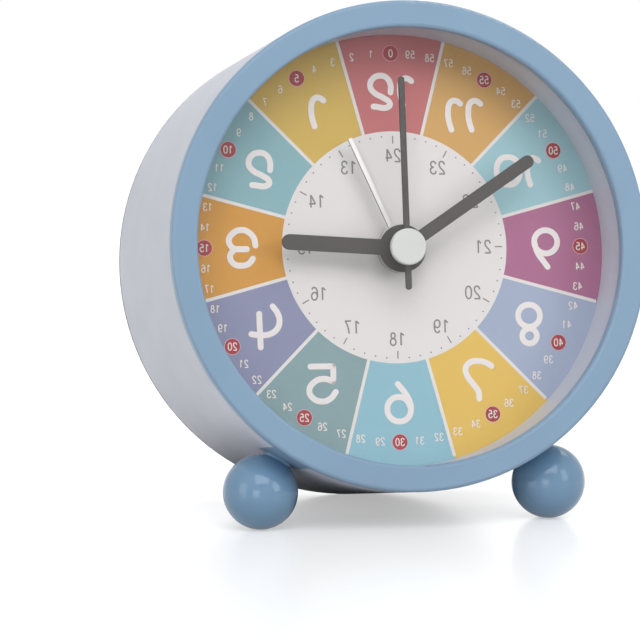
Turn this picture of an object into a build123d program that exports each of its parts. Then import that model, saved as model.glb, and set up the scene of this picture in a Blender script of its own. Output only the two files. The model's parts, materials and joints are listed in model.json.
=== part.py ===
from build123d import *

import os
from math import atan2, cos, degrees, hypot, radians, sin, sqrt

os.makedirs("parts", exist_ok=True)

# A round bedside alarm clock for children, with a night light: a drum-shaped case behind a
# wide front ring, leaning back on two ball feet and the lower edge of its rear cover.
# Every piece is drawn in clock axes: x to the viewer's right, y up the dial and z forward
# along the hands' axis, from z = 0 on the face of the dial.  Sizes are in millimetres.

# ---------------------------------------------------------------- driving dimensions

# Stance
lean = 8.0                  # degrees that the dial leans back
rest_flat = 0.12            # depth of the small flats that the clock stands on

# Fits
running_gap = 0.05          # radial gap of a shaft in its bearing
loose_gap = 0.15            # gap round pieces that drop into place
moving_gap = 0.3            # gap round pieces that travel

# Case, front ring and lens
ring_radius = 50.0
ring_lip = 2.1              # lip of the ring in front of the lens
ring_edge = 2.5             # thickness of the ring at its rim
ring_outer_round = 0.8
ring_inner_round = 0.7
ring_face_width = 5.4       # from the ring's rim to its opening
spigot_length = 6.2         # collar of the ring inside the case
spigot_wall = 1.2
case_wall = 2.4
case_flare = 0.45           # how much wider the case is at the back
lens_clearance = 0.91       # between the hands' cap and the lens
lens_thickness = 1.3

# Dial and the night light round it
dial_inset = 1.7            # gap between the dial and the case that the ribs bridge
dial_thickness = 1.5
light_ring_wall = 1.1
led_board_width = 4.2
led_board_thickness = 1.0
led_count = 8
led_length = 2.4
led_height = 1.1
ledge_thickness = 2.5
ledge_width = 4.0
rib_width = 3.0
rib_gap = 0.9               # between the ribs and the ring's collar

# Ball feet
ball_radius = 7.66
ball_spread = 32.2          # degrees that each ball stands from the bottom of the dial
ball_z = 0.95
ball_neck_radius = 3.0
tongue_width = 8.4
tongue_thickness = 1.3
tongue_tail = 3.0           # tongue behind the centre of the ball
foot_screw_radius = 1.5
foot_screw_grip = 8.0       # screw inside the ball
foot_screw_head_radius = 2.6
foot_screw_head = 1.2

# Rear cover
rear_z = -43.0              # outer face of the rear cover
cover_thickness = 2.0
cover_edge = 1.1            # black rim that shows behind the case
cover_edge_round = 0.4
cover_collar_wall = 1.3
cover_collar_length = 5.0
recess_depth = 1.6
recess_corner = 4.0
recess_bow = 3.2            # bow of the recess's slanting top edge
recess_margin = 1.0         # cover left between the recess and the collar
recess_left_inset = 4.2     # from the case's inner wall, on the +x side
recess_right_inset = 13.0
recess_strip = 5.4          # cover left between the recess and the battery door
recess_step_x = 2.6         # where the recess drops from its tall to its low part
recess_low_top = 14.4
recess_high_top = 31.0
recess_shoulder_top = 16.0  # height of the recess at its outer end

# Case screws
case_screw_inset = 3.4      # from the case's inner wall
case_screw_angles = (75.0, -17.0, 199.0)
case_screw_radius = 1.4
case_screw_head_radius = 2.6
case_screw_head = 1.1
case_screw_length = 12.0
case_boss_radius = 3.1
case_boss_web = 3.0

# Controls on the rear cover
time_knob_x = 13.0
time_knob_y = 6.8
alarm_knob_x = -24.2
alarm_knob_y = 3.7
knob_radius = 3.75
knob_teeth = 14
knob_tooth_depth = 0.65
knob_length = 5.0
knob_hollow_radius = 1.9
knob_hollow_depth = 2.2
knob_sink = 0.2             # end of the knob below the floor of the recess
knob_grip = 2.3             # length of shaft in the knob
well_radius = 4.8
well_wall = 1.2
well_length = 4.0
button_x = 26.1
button_y = 17.1
button_radius = 5.2
button_proud = 1.2
button_flange = 1.1
button_flange_thickness = 1.0
button_travel = 1.2
slot_inset = 9.6            # from the case's inner wall
slot_y = 7.6
slot_width = 4.9
slot_height = 10.2
slider_height = 4.8
slider_travel = 4.8
slider_proud = 0.9
slider_stem = 2.4
reset_x = -5.4
reset_y = 6.3
reset_radius = 0.9

# Control board behind the rear cover
control_board_z = -33.6     # face that carries the switches
control_board_thickness = 1.2
control_board_inset = 4.0   # from the case's inner wall
control_board_left = 18.5
control_board_low = -3.0
control_board_high = 26.0
board_post_radius = 1.7
board_pin_radius = 0.8
board_posts_at = ((21.9, 0.4), (33.0, 23.0))
tact_size = 6.0
tact_height = 2.4
tact_plunger_radius = 1.7
tact_plunger = 0.6
slide_case_width = 7.0
slide_case_height = 14.0
slide_case_depth = 4.0
slide_case_wall = 0.7

# Buzzer
buzzer_x = -15.0
buzzer_y = 28.6
buzzer_radius = 10.0
buzzer_height = 4.2
buzzer_hole_radius = 1.4
buzzer_collar_wall = 1.2
buzzer_collar_length = 3.0

# Battery, its bay and the door
battery_inset = 26.2        # from the case's inner wall up to the cell's axis
battery_door_gap = 0.75     # between the cell and the door's bulge
battery_radius = 7.25
battery_length = 49.2       # without the nub
battery_nub_radius = 2.7
battery_nub = 1.3
spring_room = 6.7           # length of the coil spring in the bay
bay_gap = 0.9
bay_wall = 1.4
door_screw_gap = 3.0        # between the door and the heads of the side screws
door_height = 20.6
door_thickness = 1.5
door_crown = 2.3            # how far the door bulges behind the cover
door_rim = 1.4              # thickness of the door's flat rim
door_margin = 1.6           # flat rim round the bulge
door_top_corner = 1.5
door_bottom_corner = 6.0
seat_thickness = 1.6        # cover under the door's rim
hook_width = 6.0
hook_x = 22.0
hook_reach = 1.5
hook_thickness = 1.0
latch_pocket_width = 14.8
latch_pocket_height = 6.2
latch_pocket_depth = 7.0
latch_width = 12.4
latch_strip = 1.1
latch_depth = 4.6
latch_bend = 3.0            # from one leg of the latch to the other
latch_nose = 0.5
scoop_radius = 7.2
scoop_depth = 1.3
contact_thickness = 0.4
contact_width = 10.0
contact_height = 12.0
spring_radius = 3.2
spring_wire = 0.35
spring_turns = 4

# Movement
movement_width = 58.0
movement_height = 52.0
housing_wall = 1.2
wheel_thickness = 0.9
layer_gap = 0.6
plate_layers = 4            # layers of wheels in front of the middle plate
back_layers = 9             # layers in front of the rear wall, with the plate's own
pillar = 4.0
plate_rise = 5.7            # middle plate above the coil's axis
bush_radius = 4.0
bush_height = 0.8
ear_width = 7.0
ear_length = 6.0
ear_inset = 6.0             # from the housing's top and bottom edges
ear_thickness = 1.6
dial_boss_radius = 2.2
dial_boss_height = 4.5
movement_screw_radius = 0.9
movement_screw_head_radius = 1.8
movement_screw_head = 1.1
pivot_radius = 0.6
stud_radius = 0.8
pinion_shaft_radius = 1.2
minute_foot_radius = 2.0
minute_foot_thickness = 0.3
clutch_radius = 2.6
clutch_thickness = 0.15

# Coaxial tubes of the hands, from the inside out
second_arbor_radius = 0.5
tube_wall = 0.45
alarm_tube_wall = 0.6

# Gears: teeth and modules
module_fine = 0.25
module_train = 0.3
module_motion = 0.4
alarm_train_bend = 1.0457   # the alarm train is this much longer than a straight one
pinion_room = 0.88          # between the alarm shaft's pinion and the housing
rotor_teeth = 8
step_wheel_teeth = 40
step_pinion_teeth = 8
second_wheel_teeth = 48
second_pinion_teeth = 8
third_wheel_teeth = 60
third_pinion_teeth = 8
centre_wheel_teeth = 64
cannon_teeth = 12
motion_wheel_teeth = 36
motion_pinion_teeth = 10
hour_wheel_teeth = 40
set_pinion_teeth = 12
alarm_wheel_teeth = 36
alarm_idler_teeth = 40
alarm_pinion_teeth = 12
third_angle = 250.0         # directions of the arbors from the hands' axis
step_angle = 330.0
rotor_angle = -45.0         # direction of the rotor from the step wheel
tip_height = 0.8            # of the module
root_depth = 1.05           # of the module

# Motor
rotor_magnet_radius = 2.5
rotor_magnet_rise = 1.2     # magnet above and below the stator
stator_gap = 0.4
stator_rim = 1.3
stator_leg = 4.2
stator_post_radius = 1.5
stator_pin_radius = 0.7
coil_room = 0.65            # round the coil's bobbin
coil_left = -7.0
coil_right = 8.4
coil_radius = 2.3
bobbin_half = 2.45
bobbin_flange = 0.8
bobbin_tube_wall = 0.5
core_width = 2.4

# Quartz board in the movement
quartz_board_rise = 0.6     # above the housing's floor
quartz_board_inset = 1.4    # from the housing's side
quartz_board_gap = 0.4      # from the stator
quartz_board_height = 7.6
quartz_board_thickness = 0.8
quartz_board_lift = 1.8
chip_radius = 2.6
chip_height = 1.0
crystal_radius = 1.0
crystal_length = 6.0

# Hands
hand_thickness = 0.45
alarm_hand_z = 2.9
hand_spacing = 1.73
tube_proud = 0.35           # tube in front of its hand
alarm_hand_tip = 25.0
alarm_hand_width = 0.95
alarm_hub_radius = 5.0
alarm_hand_angle = 23.5     # all hands: degrees anticlockwise from straight up
hour_hand_tip = 25.5
hour_hand_width = 3.2
hour_hub_radius = 4.9
hour_hand_angle = 85.9
minute_hand_tip = 33.4
minute_hand_width = 2.6
minute_hub_radius = 3.0
minute_hand_angle = -57.2
second_hand_tip = 35.0
second_hand_tail = 8.75
second_hand_width = 1.25
second_hub_radius = 2.6
second_hand_angle = 0.0
cap_radius = 3.75
cap_height = 1.15
cap_round = 0.35
cap_socket = 0.5

# ---------------------------------------------------------------- places worked out from them

tilt = radians(lean)
hour_hand_z = alarm_hand_z + hand_spacing
minute_hand_z = hour_hand_z + hand_spacing
second_hand_z = minute_hand_z + hand_spacing
lens_height = second_hand_z + hand_thickness + cap_height + lens_clearance
ring_front = lens_height + lens_thickness + ring_lip
ring_opening_radius = ring_radius - ring_face_width
case_rear_radius = ring_radius + case_flare
case_inner_radius = ring_radius - case_wall
dial_radius = case_inner_radius - dial_inset
case_screw_circle = case_inner_radius - case_screw_inset
edge_centre_z = rear_z + cover_edge_round
edge_centre_radius = case_rear_radius - cover_edge_round
crown_centre_z = ring_front - ring_outer_round
crown_centre_radius = ring_radius - ring_outer_round

# The dial's centre stands where the rear edge and the balls touch the floor, and half-way
# between the front and back of the whole clock.
dial_height = (
    cover_edge_round - rest_flat - edge_centre_z * sin(tilt) + edge_centre_radius * cos(tilt)
)
reach_front = ring_outer_round + crown_centre_z * cos(tilt) + crown_centre_radius * sin(tilt)
reach_back = cover_edge_round - edge_centre_z * cos(tilt) + edge_centre_radius * sin(tilt)
clock = Plane(
    origin=(0, (reach_front - reach_back) / 2, dial_height),
    x_dir=(1, 0, 0),
    z_dir=(0, -cos(tilt), sin(tilt)),
)
section = Plane(origin=clock.origin, x_dir=clock.x_dir, z_dir=-clock.y_dir)
hand_axis = Axis(clock.origin, clock.z_dir)
side_view = Plane(origin=clock.origin, x_dir=clock.y_dir, z_dir=clock.x_dir)
floor = Plane.XY


def polar(radius, angle):
    """Point of the dial plane at an angle measured from the x axis."""
    return (radius * cos(radians(angle)), radius * sin(radians(angle)))


def ring_face(outer, inner):
    """A flat ring in the sketch that is open."""
    Circle(outer)
    Circle(inner, mode=Mode.SUBTRACT)


def save(builder, name):
    """Labels a finished piece and writes its STEP file."""
    builder.part.label = name
    export_step(builder.part, f"parts/{name}.step")


# ---------------------------------------------------------------- gear layout


def layer(n):
    """Rear face of the n-th layer of wheels behind the movement's front wall."""
    return -dial_thickness - housing_wall - n * (wheel_thickness + layer_gap)


def pitch_radius(teeth, module):
    return teeth * module / 2


def direction(start, end):
    """Angle of the line from one arbor to another."""
    return degrees(atan2(end[1] - start[1], end[0] - start[0]))


def mesh_phase(teeth, mate_teeth, mate_phase, mate_to_own):
    """Angle of a tooth of a gear that meshes with one already placed."""
    mate_offset = ((mate_to_own - mate_phase) * mate_teeth / 360) % 1
    return mate_to_own + 180 + (mate_offset + 0.5) * 360 / teeth


def gear_face(teeth, module, phase):
    """A gear in the open sketch: straight-flanked teeth, one of them centred on phase."""
    tip = pitch_radius(teeth, module) + tip_height * module
    root = pitch_radius(teeth, module) - root_depth * module
    pitch = 360 / teeth
    corners = []
    for n in range(teeth):
        middle = phase + n * pitch
        corners.append(polar(root, middle - 0.30 * pitch))
        corners.append(polar(tip, middle - 0.11 * pitch))
        corners.append(polar(tip, middle + 0.11 * pitch))
        corners.append(polar(root, middle + 0.30 * pitch))
    Polygon(*corners, align=None)


hands_at = (0, 0)
time_knob_at = (time_knob_x, time_knob_y)
alarm_knob_at = (alarm_knob_x, alarm_knob_y)

# The third wheel reaches both the second pinion and the centre wheel.
third_reach = pitch_radius(second_pinion_teeth + third_wheel_teeth, module_train)
module_centre = 2 * third_reach / (third_pinion_teeth + centre_wheel_teeth)
third_at = polar(third_reach, third_angle)
step_at = polar(pitch_radius(step_pinion_teeth + second_wheel_teeth, module_train), step_angle)
rotor_reach = pitch_radius(rotor_teeth + step_wheel_teeth, module_fine)
rotor_at = (
    step_at[0] + polar(rotor_reach, rotor_angle)[0],
    step_at[1] + polar(rotor_reach, rotor_angle)[1],
)


def meeting_point(first_reach, mate, mate_reach, side):
    """Arbor at one reach from the hands' axis and another from its mate, on side +1 or -1."""
    span = hypot(*mate)
    along = (first_reach**2 - mate_reach**2 + span**2) / (2 * span)
    across = side * sqrt(first_reach**2 - along**2)
    ux, uy = mate[0] / span, mate[1] / span
    return (ux * along - uy * across, uy * along + ux * across)


# The motion wheel meshes with the cannon pinion and with the time shaft's pinion.
motion_reach = pitch_radius(cannon_teeth + motion_wheel_teeth, module_motion)
module_hour = 2 * motion_reach / (motion_pinion_teeth + hour_wheel_teeth)
set_reach = pitch_radius(set_pinion_teeth + motion_wheel_teeth, module_motion)
motion_at = meeting_point(motion_reach, time_knob_at, set_reach, -1)

# The alarm idler meshes with the alarm wheel and with the alarm shaft's pinion.
module_alarm = 2 * alarm_train_bend * hypot(*alarm_knob_at) / (
    alarm_wheel_teeth + 2 * alarm_idler_teeth + alarm_pinion_teeth
)
idler_reach = pitch_radius(alarm_wheel_teeth + alarm_idler_teeth, module_alarm)
alarm_set_reach = pitch_radius(alarm_pinion_teeth + alarm_idler_teeth, module_alarm)
idler_at = meeting_point(idler_reach, alarm_knob_at, alarm_set_reach, -1)

second_tube_radius = second_arbor_radius + running_gap
minute_tube_radius = second_tube_radius + tube_wall
hour_bore = minute_tube_radius + running_gap
hour_tube_radius = hour_bore + tube_wall
alarm_bore = hour_tube_radius + running_gap
alarm_tube_radius = alarm_bore + alarm_tube_wall

plate_front = layer(plate_layers) - layer_gap
plate_back = plate_front - wheel_thickness
back_wall_front = layer(back_layers) - layer_gap
back_wall_back = back_wall_front - housing_wall
front_wall_back = -dial_thickness - housing_wall
split_z = plate_back        # where the two halves of the movement's housing meet
case_front_z = ring_front - ring_edge
case_back_z = rear_z + cover_edge
cover_inner_z = rear_z + cover_thickness
recess_floor_z = rear_z + recess_depth
recess_inner_z = recess_floor_z + cover_thickness
spigot_radius = case_inner_radius - loose_gap
spigot_bore = spigot_radius - spigot_wall
spigot_end_z = case_front_z - spigot_length
lens_radius = spigot_bore - loose_gap
light_ring_bore = dial_radius - light_ring_wall
led_circle = dial_radius - light_ring_wall / 2
led_board_z = -dial_thickness - led_board_thickness
tongue_bore = ring_radius - tongue_thickness
tongue_end_z = ball_z - tongue_tail
foot_angles = (-90 - ball_spread, -90 + ball_spread)
rib_height = spigot_end_z - rib_gap
ball_height = ball_radius - rest_flat
ball_reach = (dial_height + ball_z * sin(tilt) - ball_height) / (
    cos(tilt) * cos(radians(ball_spread))
)


# The housing's bottom and left edges are placed by the going train and the alarm shaft.
third_low_y = third_at[1] - pitch_radius(third_wheel_teeth, module_train) - tip_height * module_train
coil_y = third_low_y - coil_room + running_gap - bobbin_half
movement_bottom = coil_y - bobbin_half - coil_room - housing_wall
alarm_pinion_tip = pitch_radius(alarm_pinion_teeth, module_alarm) + tip_height * module_alarm
movement_left = alarm_knob_x - alarm_pinion_tip - pinion_room - housing_wall
movement_at = (movement_left + movement_width / 2, movement_bottom + movement_height / 2)
ear_x = movement_width / 2 + ear_length / 2
ear_y = movement_height / 2 - ear_inset
ears_at = [
    (movement_at[0] + x, movement_at[1] + y) for x in (-ear_x, ear_x) for y in (-ear_y, ear_y)
]


def foot_plane(angle, radius):
    """Plane across the axis of a foot, facing outwards from the case."""
    x, y = polar(radius, angle)
    outward = clock.x_dir * cos(radians(angle)) + clock.y_dir * sin(radians(angle))
    centre = clock.origin + clock.x_dir * x + clock.y_dir * y + clock.z_dir * ball_z
    return Plane(origin=centre, x_dir=clock.z_dir, z_dir=outward)


def tongue_face(gap):
    """The two foot tongues across the hands' axis, in the sketch that is open."""
    with PolarLocations(ring_radius, 2, foot_angles[0], 2 * ball_spread, endpoint=True):
        Rectangle(2 * tongue_thickness + 2 * gap, tongue_width + 2 * gap)


def boss_faces(gap):
    """The screw bosses and the webs that join them to the wall, in the sketch that is open."""
    for angle in case_screw_angles:
        with PolarLocations(case_screw_circle, 1, angle):
            Circle(case_boss_radius + gap)
            Rectangle(
                case_inner_radius + case_wall / 2 - case_screw_circle,
                case_boss_web + 2 * gap,
                align=(Align.MIN, Align.CENTER),
            )


# ---------------------------------------------------------------- case

# White drum that everything is mounted in, open at both ends.  A ledge inside carries the
# dial, four ribs centre it, and three bosses take the screws of the rear cover.
with BuildPart() as case_shell:
    with BuildSketch(section):
        with BuildLine():
            Polyline(
                (case_inner_radius, case_back_z),
                (case_rear_radius, case_back_z),
                (ring_radius, case_front_z),
                (case_inner_radius, case_front_z),
                close=True,
            )
        make_face()
    revolve(axis=hand_axis)
    with BuildSketch(clock.offset(led_board_z - ledge_thickness)):
        ring_face(case_inner_radius + case_wall / 2, case_inner_radius - ledge_width)
    extrude(amount=ledge_thickness)
    with BuildSketch(clock.offset(led_board_z)):
        with PolarLocations(dial_radius, 4):
            Rectangle(
                case_inner_radius - dial_radius + case_wall / 2,
                rib_width,
                align=(Align.MIN, Align.CENTER),
            )
        Circle(dial_radius + loose_gap, mode=Mode.SUBTRACT)
    extrude(amount=rib_height - led_board_z)
    with BuildSketch(clock.offset(cover_inner_z)):
        boss_faces(0)
    extrude(amount=case_screw_length)
    with BuildSketch(clock.offset(cover_inner_z)):
        for angle in case_screw_angles:
            with Locations(polar(case_screw_circle, angle)):
                Circle(case_screw_radius)
    extrude(amount=case_screw_length - case_wall, mode=Mode.SUBTRACT)
    with BuildSketch(clock.offset(tongue_end_z - loose_gap)):
        tongue_face(loose_gap)
        Circle(tongue_bore, mode=Mode.SUBTRACT)
    extrude(amount=case_front_z - tongue_end_z + loose_gap, mode=Mode.SUBTRACT)
    for angle in foot_angles:
        with BuildSketch(foot_plane(angle, case_inner_radius - ledge_width)):
            Circle(foot_screw_head_radius + moving_gap)
        extrude(amount=ledge_width, mode=Mode.SUBTRACT)
        with BuildSketch(foot_plane(angle, case_inner_radius)):
            Circle(foot_screw_radius + loose_gap)
        extrude(amount=case_wall, mode=Mode.SUBTRACT)
save(case_shell, "case_shell")

# Front ring: one moulding with a collar that plugs into the case and two tongues that run
# back, flush with the case, to carry the feet.
with BuildPart() as bezel_ring:
    with BuildSketch(section):
        with BuildLine():
            Polyline(
                (crown_centre_radius, ring_front),
                (ring_opening_radius + ring_inner_round, ring_front),
            )
            RadiusArc(
                (ring_opening_radius + ring_inner_round, ring_front),
                (ring_opening_radius, ring_front - ring_inner_round),
                -ring_inner_round,
            )
            Polyline(
                (ring_opening_radius, ring_front - ring_inner_round),
                (ring_opening_radius, lens_height + lens_thickness),
                (spigot_bore, lens_height + lens_thickness),
                (spigot_bore, spigot_end_z),
                (spigot_radius, spigot_end_z),
                (spigot_radius, case_front_z),
                (ring_radius, case_front_z),
                (ring_radius, crown_centre_z),
            )
            RadiusArc(
                (ring_radius, crown_centre_z),
                (crown_centre_radius, ring_front),
                -ring_outer_round,
            )
        make_face()
    revolve(axis=hand_axis)
    with BuildSketch(clock.offset(tongue_end_z)):
        tongue_face(0)
        Circle(ring_radius, mode=Mode.INTERSECT)
        Circle(tongue_bore, mode=Mode.SUBTRACT)
    extrude(amount=case_front_z + ring_edge / 2 - tongue_end_z)
    for angle in foot_angles:
        with BuildSketch(foot_plane(angle, tongue_bore - tongue_thickness)):
            Circle(foot_screw_radius + loose_gap)
        extrude(amount=3 * tongue_thickness, mode=Mode.SUBTRACT)
save(bezel_ring, "bezel_ring")

# Clear lens, trapped between the lip of the front ring and the light ring.
with BuildPart() as lens:
    with BuildSketch(clock.offset(lens_height)):
        Circle(lens_radius)
    extrude(amount=lens_thickness)
save(lens, "lens")

# ---------------------------------------------------------------- dial and night light

# Frosted ring that stands on the dial's edge and spreads the night light over the dial.
with BuildPart() as light_ring:
    with BuildSketch(clock):
        ring_face(dial_radius, light_ring_bore)
    extrude(amount=lens_height)
save(light_ring, "light_ring")


def each_led():
    """Places round the light ring, half a step away from the top of the dial."""
    return PolarLocations(led_circle, led_count, 90 + 180 / led_count)


# Dial: a disc with a clear hole for the hands' tubes, notches for the lamps and four bosses
# at the back for the movement.
with BuildPart() as dial_plate:
    with BuildSketch(clock.offset(-dial_thickness)):
        Circle(dial_radius)
    extrude(amount=dial_thickness)
    with BuildSketch(clock.offset(-dial_thickness - dial_boss_height)):
        with Locations(*ears_at):
            Circle(dial_boss_radius)
    extrude(amount=dial_boss_height)
    with BuildSketch(clock.offset(-dial_thickness - dial_boss_height)):
        with Locations(*ears_at):
            Circle(movement_screw_radius)
    extrude(amount=dial_boss_height, mode=Mode.SUBTRACT)
    with BuildSketch(clock.offset(-dial_thickness)):
        Circle(bush_radius + loose_gap)
        with each_led():
            Rectangle(3 * light_ring_wall, led_length + 2 * loose_gap)
    extrude(amount=dial_thickness, mode=Mode.SUBTRACT)
save(dial_plate, "dial_plate")

# Printed board in the form of a ring, laid on the ledge of the case under the dial.
with BuildPart() as led_board:
    with BuildSketch(clock.offset(led_board_z)):
        ring_face(dial_radius, dial_radius - led_board_width)
    extrude(amount=led_board_thickness)
save(led_board, "led_board")

# The lamps of the night light, soldered on that board and shining up into the light ring.
with BuildPart() as night_light_leds:
    with BuildSketch(clock.offset(-dial_thickness)):
        with each_led():
            Rectangle(light_ring_wall, led_length)
        Circle(dial_radius, mode=Mode.INTERSECT)
    extrude(amount=led_height)
save(night_light_leds, "night_light_leds")

# ---------------------------------------------------------------- feet


def ball_foot(angle):
    """A ball with a short neck that seats on the ring's tongue, flattened where it stands."""
    with BuildPart() as foot:
        with BuildSketch(foot_plane(angle, ring_radius - tongue_thickness)):
            Circle(ball_neck_radius)
        extrude(amount=ball_reach - ring_radius + tongue_thickness)
        with Locations(foot_plane(angle, ball_reach).location):
            Sphere(ball_radius)
        with BuildSketch(clock.offset(ball_z - ball_radius)):
            Circle(ring_radius)
        extrude(amount=2 * ball_radius, mode=Mode.SUBTRACT)
        with BuildSketch(foot_plane(angle, ring_radius - tongue_thickness)):
            Circle(foot_screw_radius)
        extrude(amount=tongue_thickness + foot_screw_grip, mode=Mode.SUBTRACT)
        split(bisect_by=floor, keep=Keep.TOP)
    return foot


save(ball_foot(foot_angles[0]), "ball_foot_left")
save(ball_foot(foot_angles[1]), "ball_foot_right")

# Screws that go out through the case and the tongues into the balls.
with BuildPart() as foot_screws:
    for angle in foot_angles:
        with BuildSketch(foot_plane(angle, case_inner_radius - foot_screw_head)):
            Circle(foot_screw_head_radius)
        extrude(amount=foot_screw_head)
        with BuildSketch(foot_plane(angle, case_inner_radius - foot_screw_head)):
            Circle(foot_screw_radius)
        extrude(amount=foot_screw_head + ring_radius - case_inner_radius + foot_screw_grip)
save(foot_screws, "foot_screws")

# ---------------------------------------------------------------- rear cover

door_width = 2 * (
    -polar(case_screw_circle, case_screw_angles[2])[0] - case_screw_head_radius - door_screw_gap
)
battery_y = battery_inset - case_inner_radius
battery_z = rear_z - door_crown + door_thickness + battery_door_gap + battery_radius
bay_length = battery_length + battery_nub + spring_room + 2 * contact_thickness
slot_x = case_inner_radius - slot_inset
control_board_reach = case_inner_radius - control_board_inset
cover_plug_radius = case_inner_radius - loose_gap
collar_bore = cover_plug_radius - cover_collar_wall
recess_limit = collar_bore - recess_margin
bay_half_height = battery_radius + bay_gap
bay_floor_z = battery_z + bay_half_height
seat_z = rear_z + door_rim
door_top_y = battery_y + door_height / 2
door_bottom_y = battery_y - door_height / 2
recess_left = case_inner_radius - recess_left_inset
recess_right = case_inner_radius - recess_right_inset
recess_bottom = door_top_y + recess_strip
pocket_top_y = door_bottom_y + moving_gap
pocket_y = door_bottom_y - moving_gap - latch_pocket_height / 2
pocket_bottom_y = pocket_y - latch_pocket_height / 2
slider_y = slot_y - slider_travel / 2


def recess_outline():
    """Outline of the controls' recess as a face in the open sketch."""
    with BuildLine(mode=Mode.PRIVATE) as outline:
        start = (recess_left, recess_shoulder_top)
        end = (recess_step_x, recess_high_top)
        run = (end[0] - start[0], end[1] - start[1])
        middle = (
            (start[0] + end[0]) / 2 + recess_bow * run[1] / hypot(*run),
            (start[1] + end[1]) / 2 - recess_bow * run[0] / hypot(*run),
        )
        ThreePointArc(start, middle, end)
        Polyline(
            end,
            (recess_step_x, recess_low_top),
            (-recess_right, recess_low_top),
            (-recess_right, recess_bottom),
            (recess_left, recess_bottom),
            start,
        )
    return outline.line


def door_outline(margin):
    """The battery door's outline, grown by a margin, as a face for the open sketch."""
    with BuildSketch(mode=Mode.PRIVATE) as outline:
        with Locations((0, battery_y)):
            Rectangle(door_width, door_height)
        corners = outline.vertices().sort_by(Axis.Y)
        fillet(corners[:2], radius=door_bottom_corner)
        fillet(outline.vertices().sort_by(Axis.Y)[-2:], radius=door_top_corner)
        offset(amount=margin, kind=Kind.ARC)
    return outline.sketch


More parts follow.
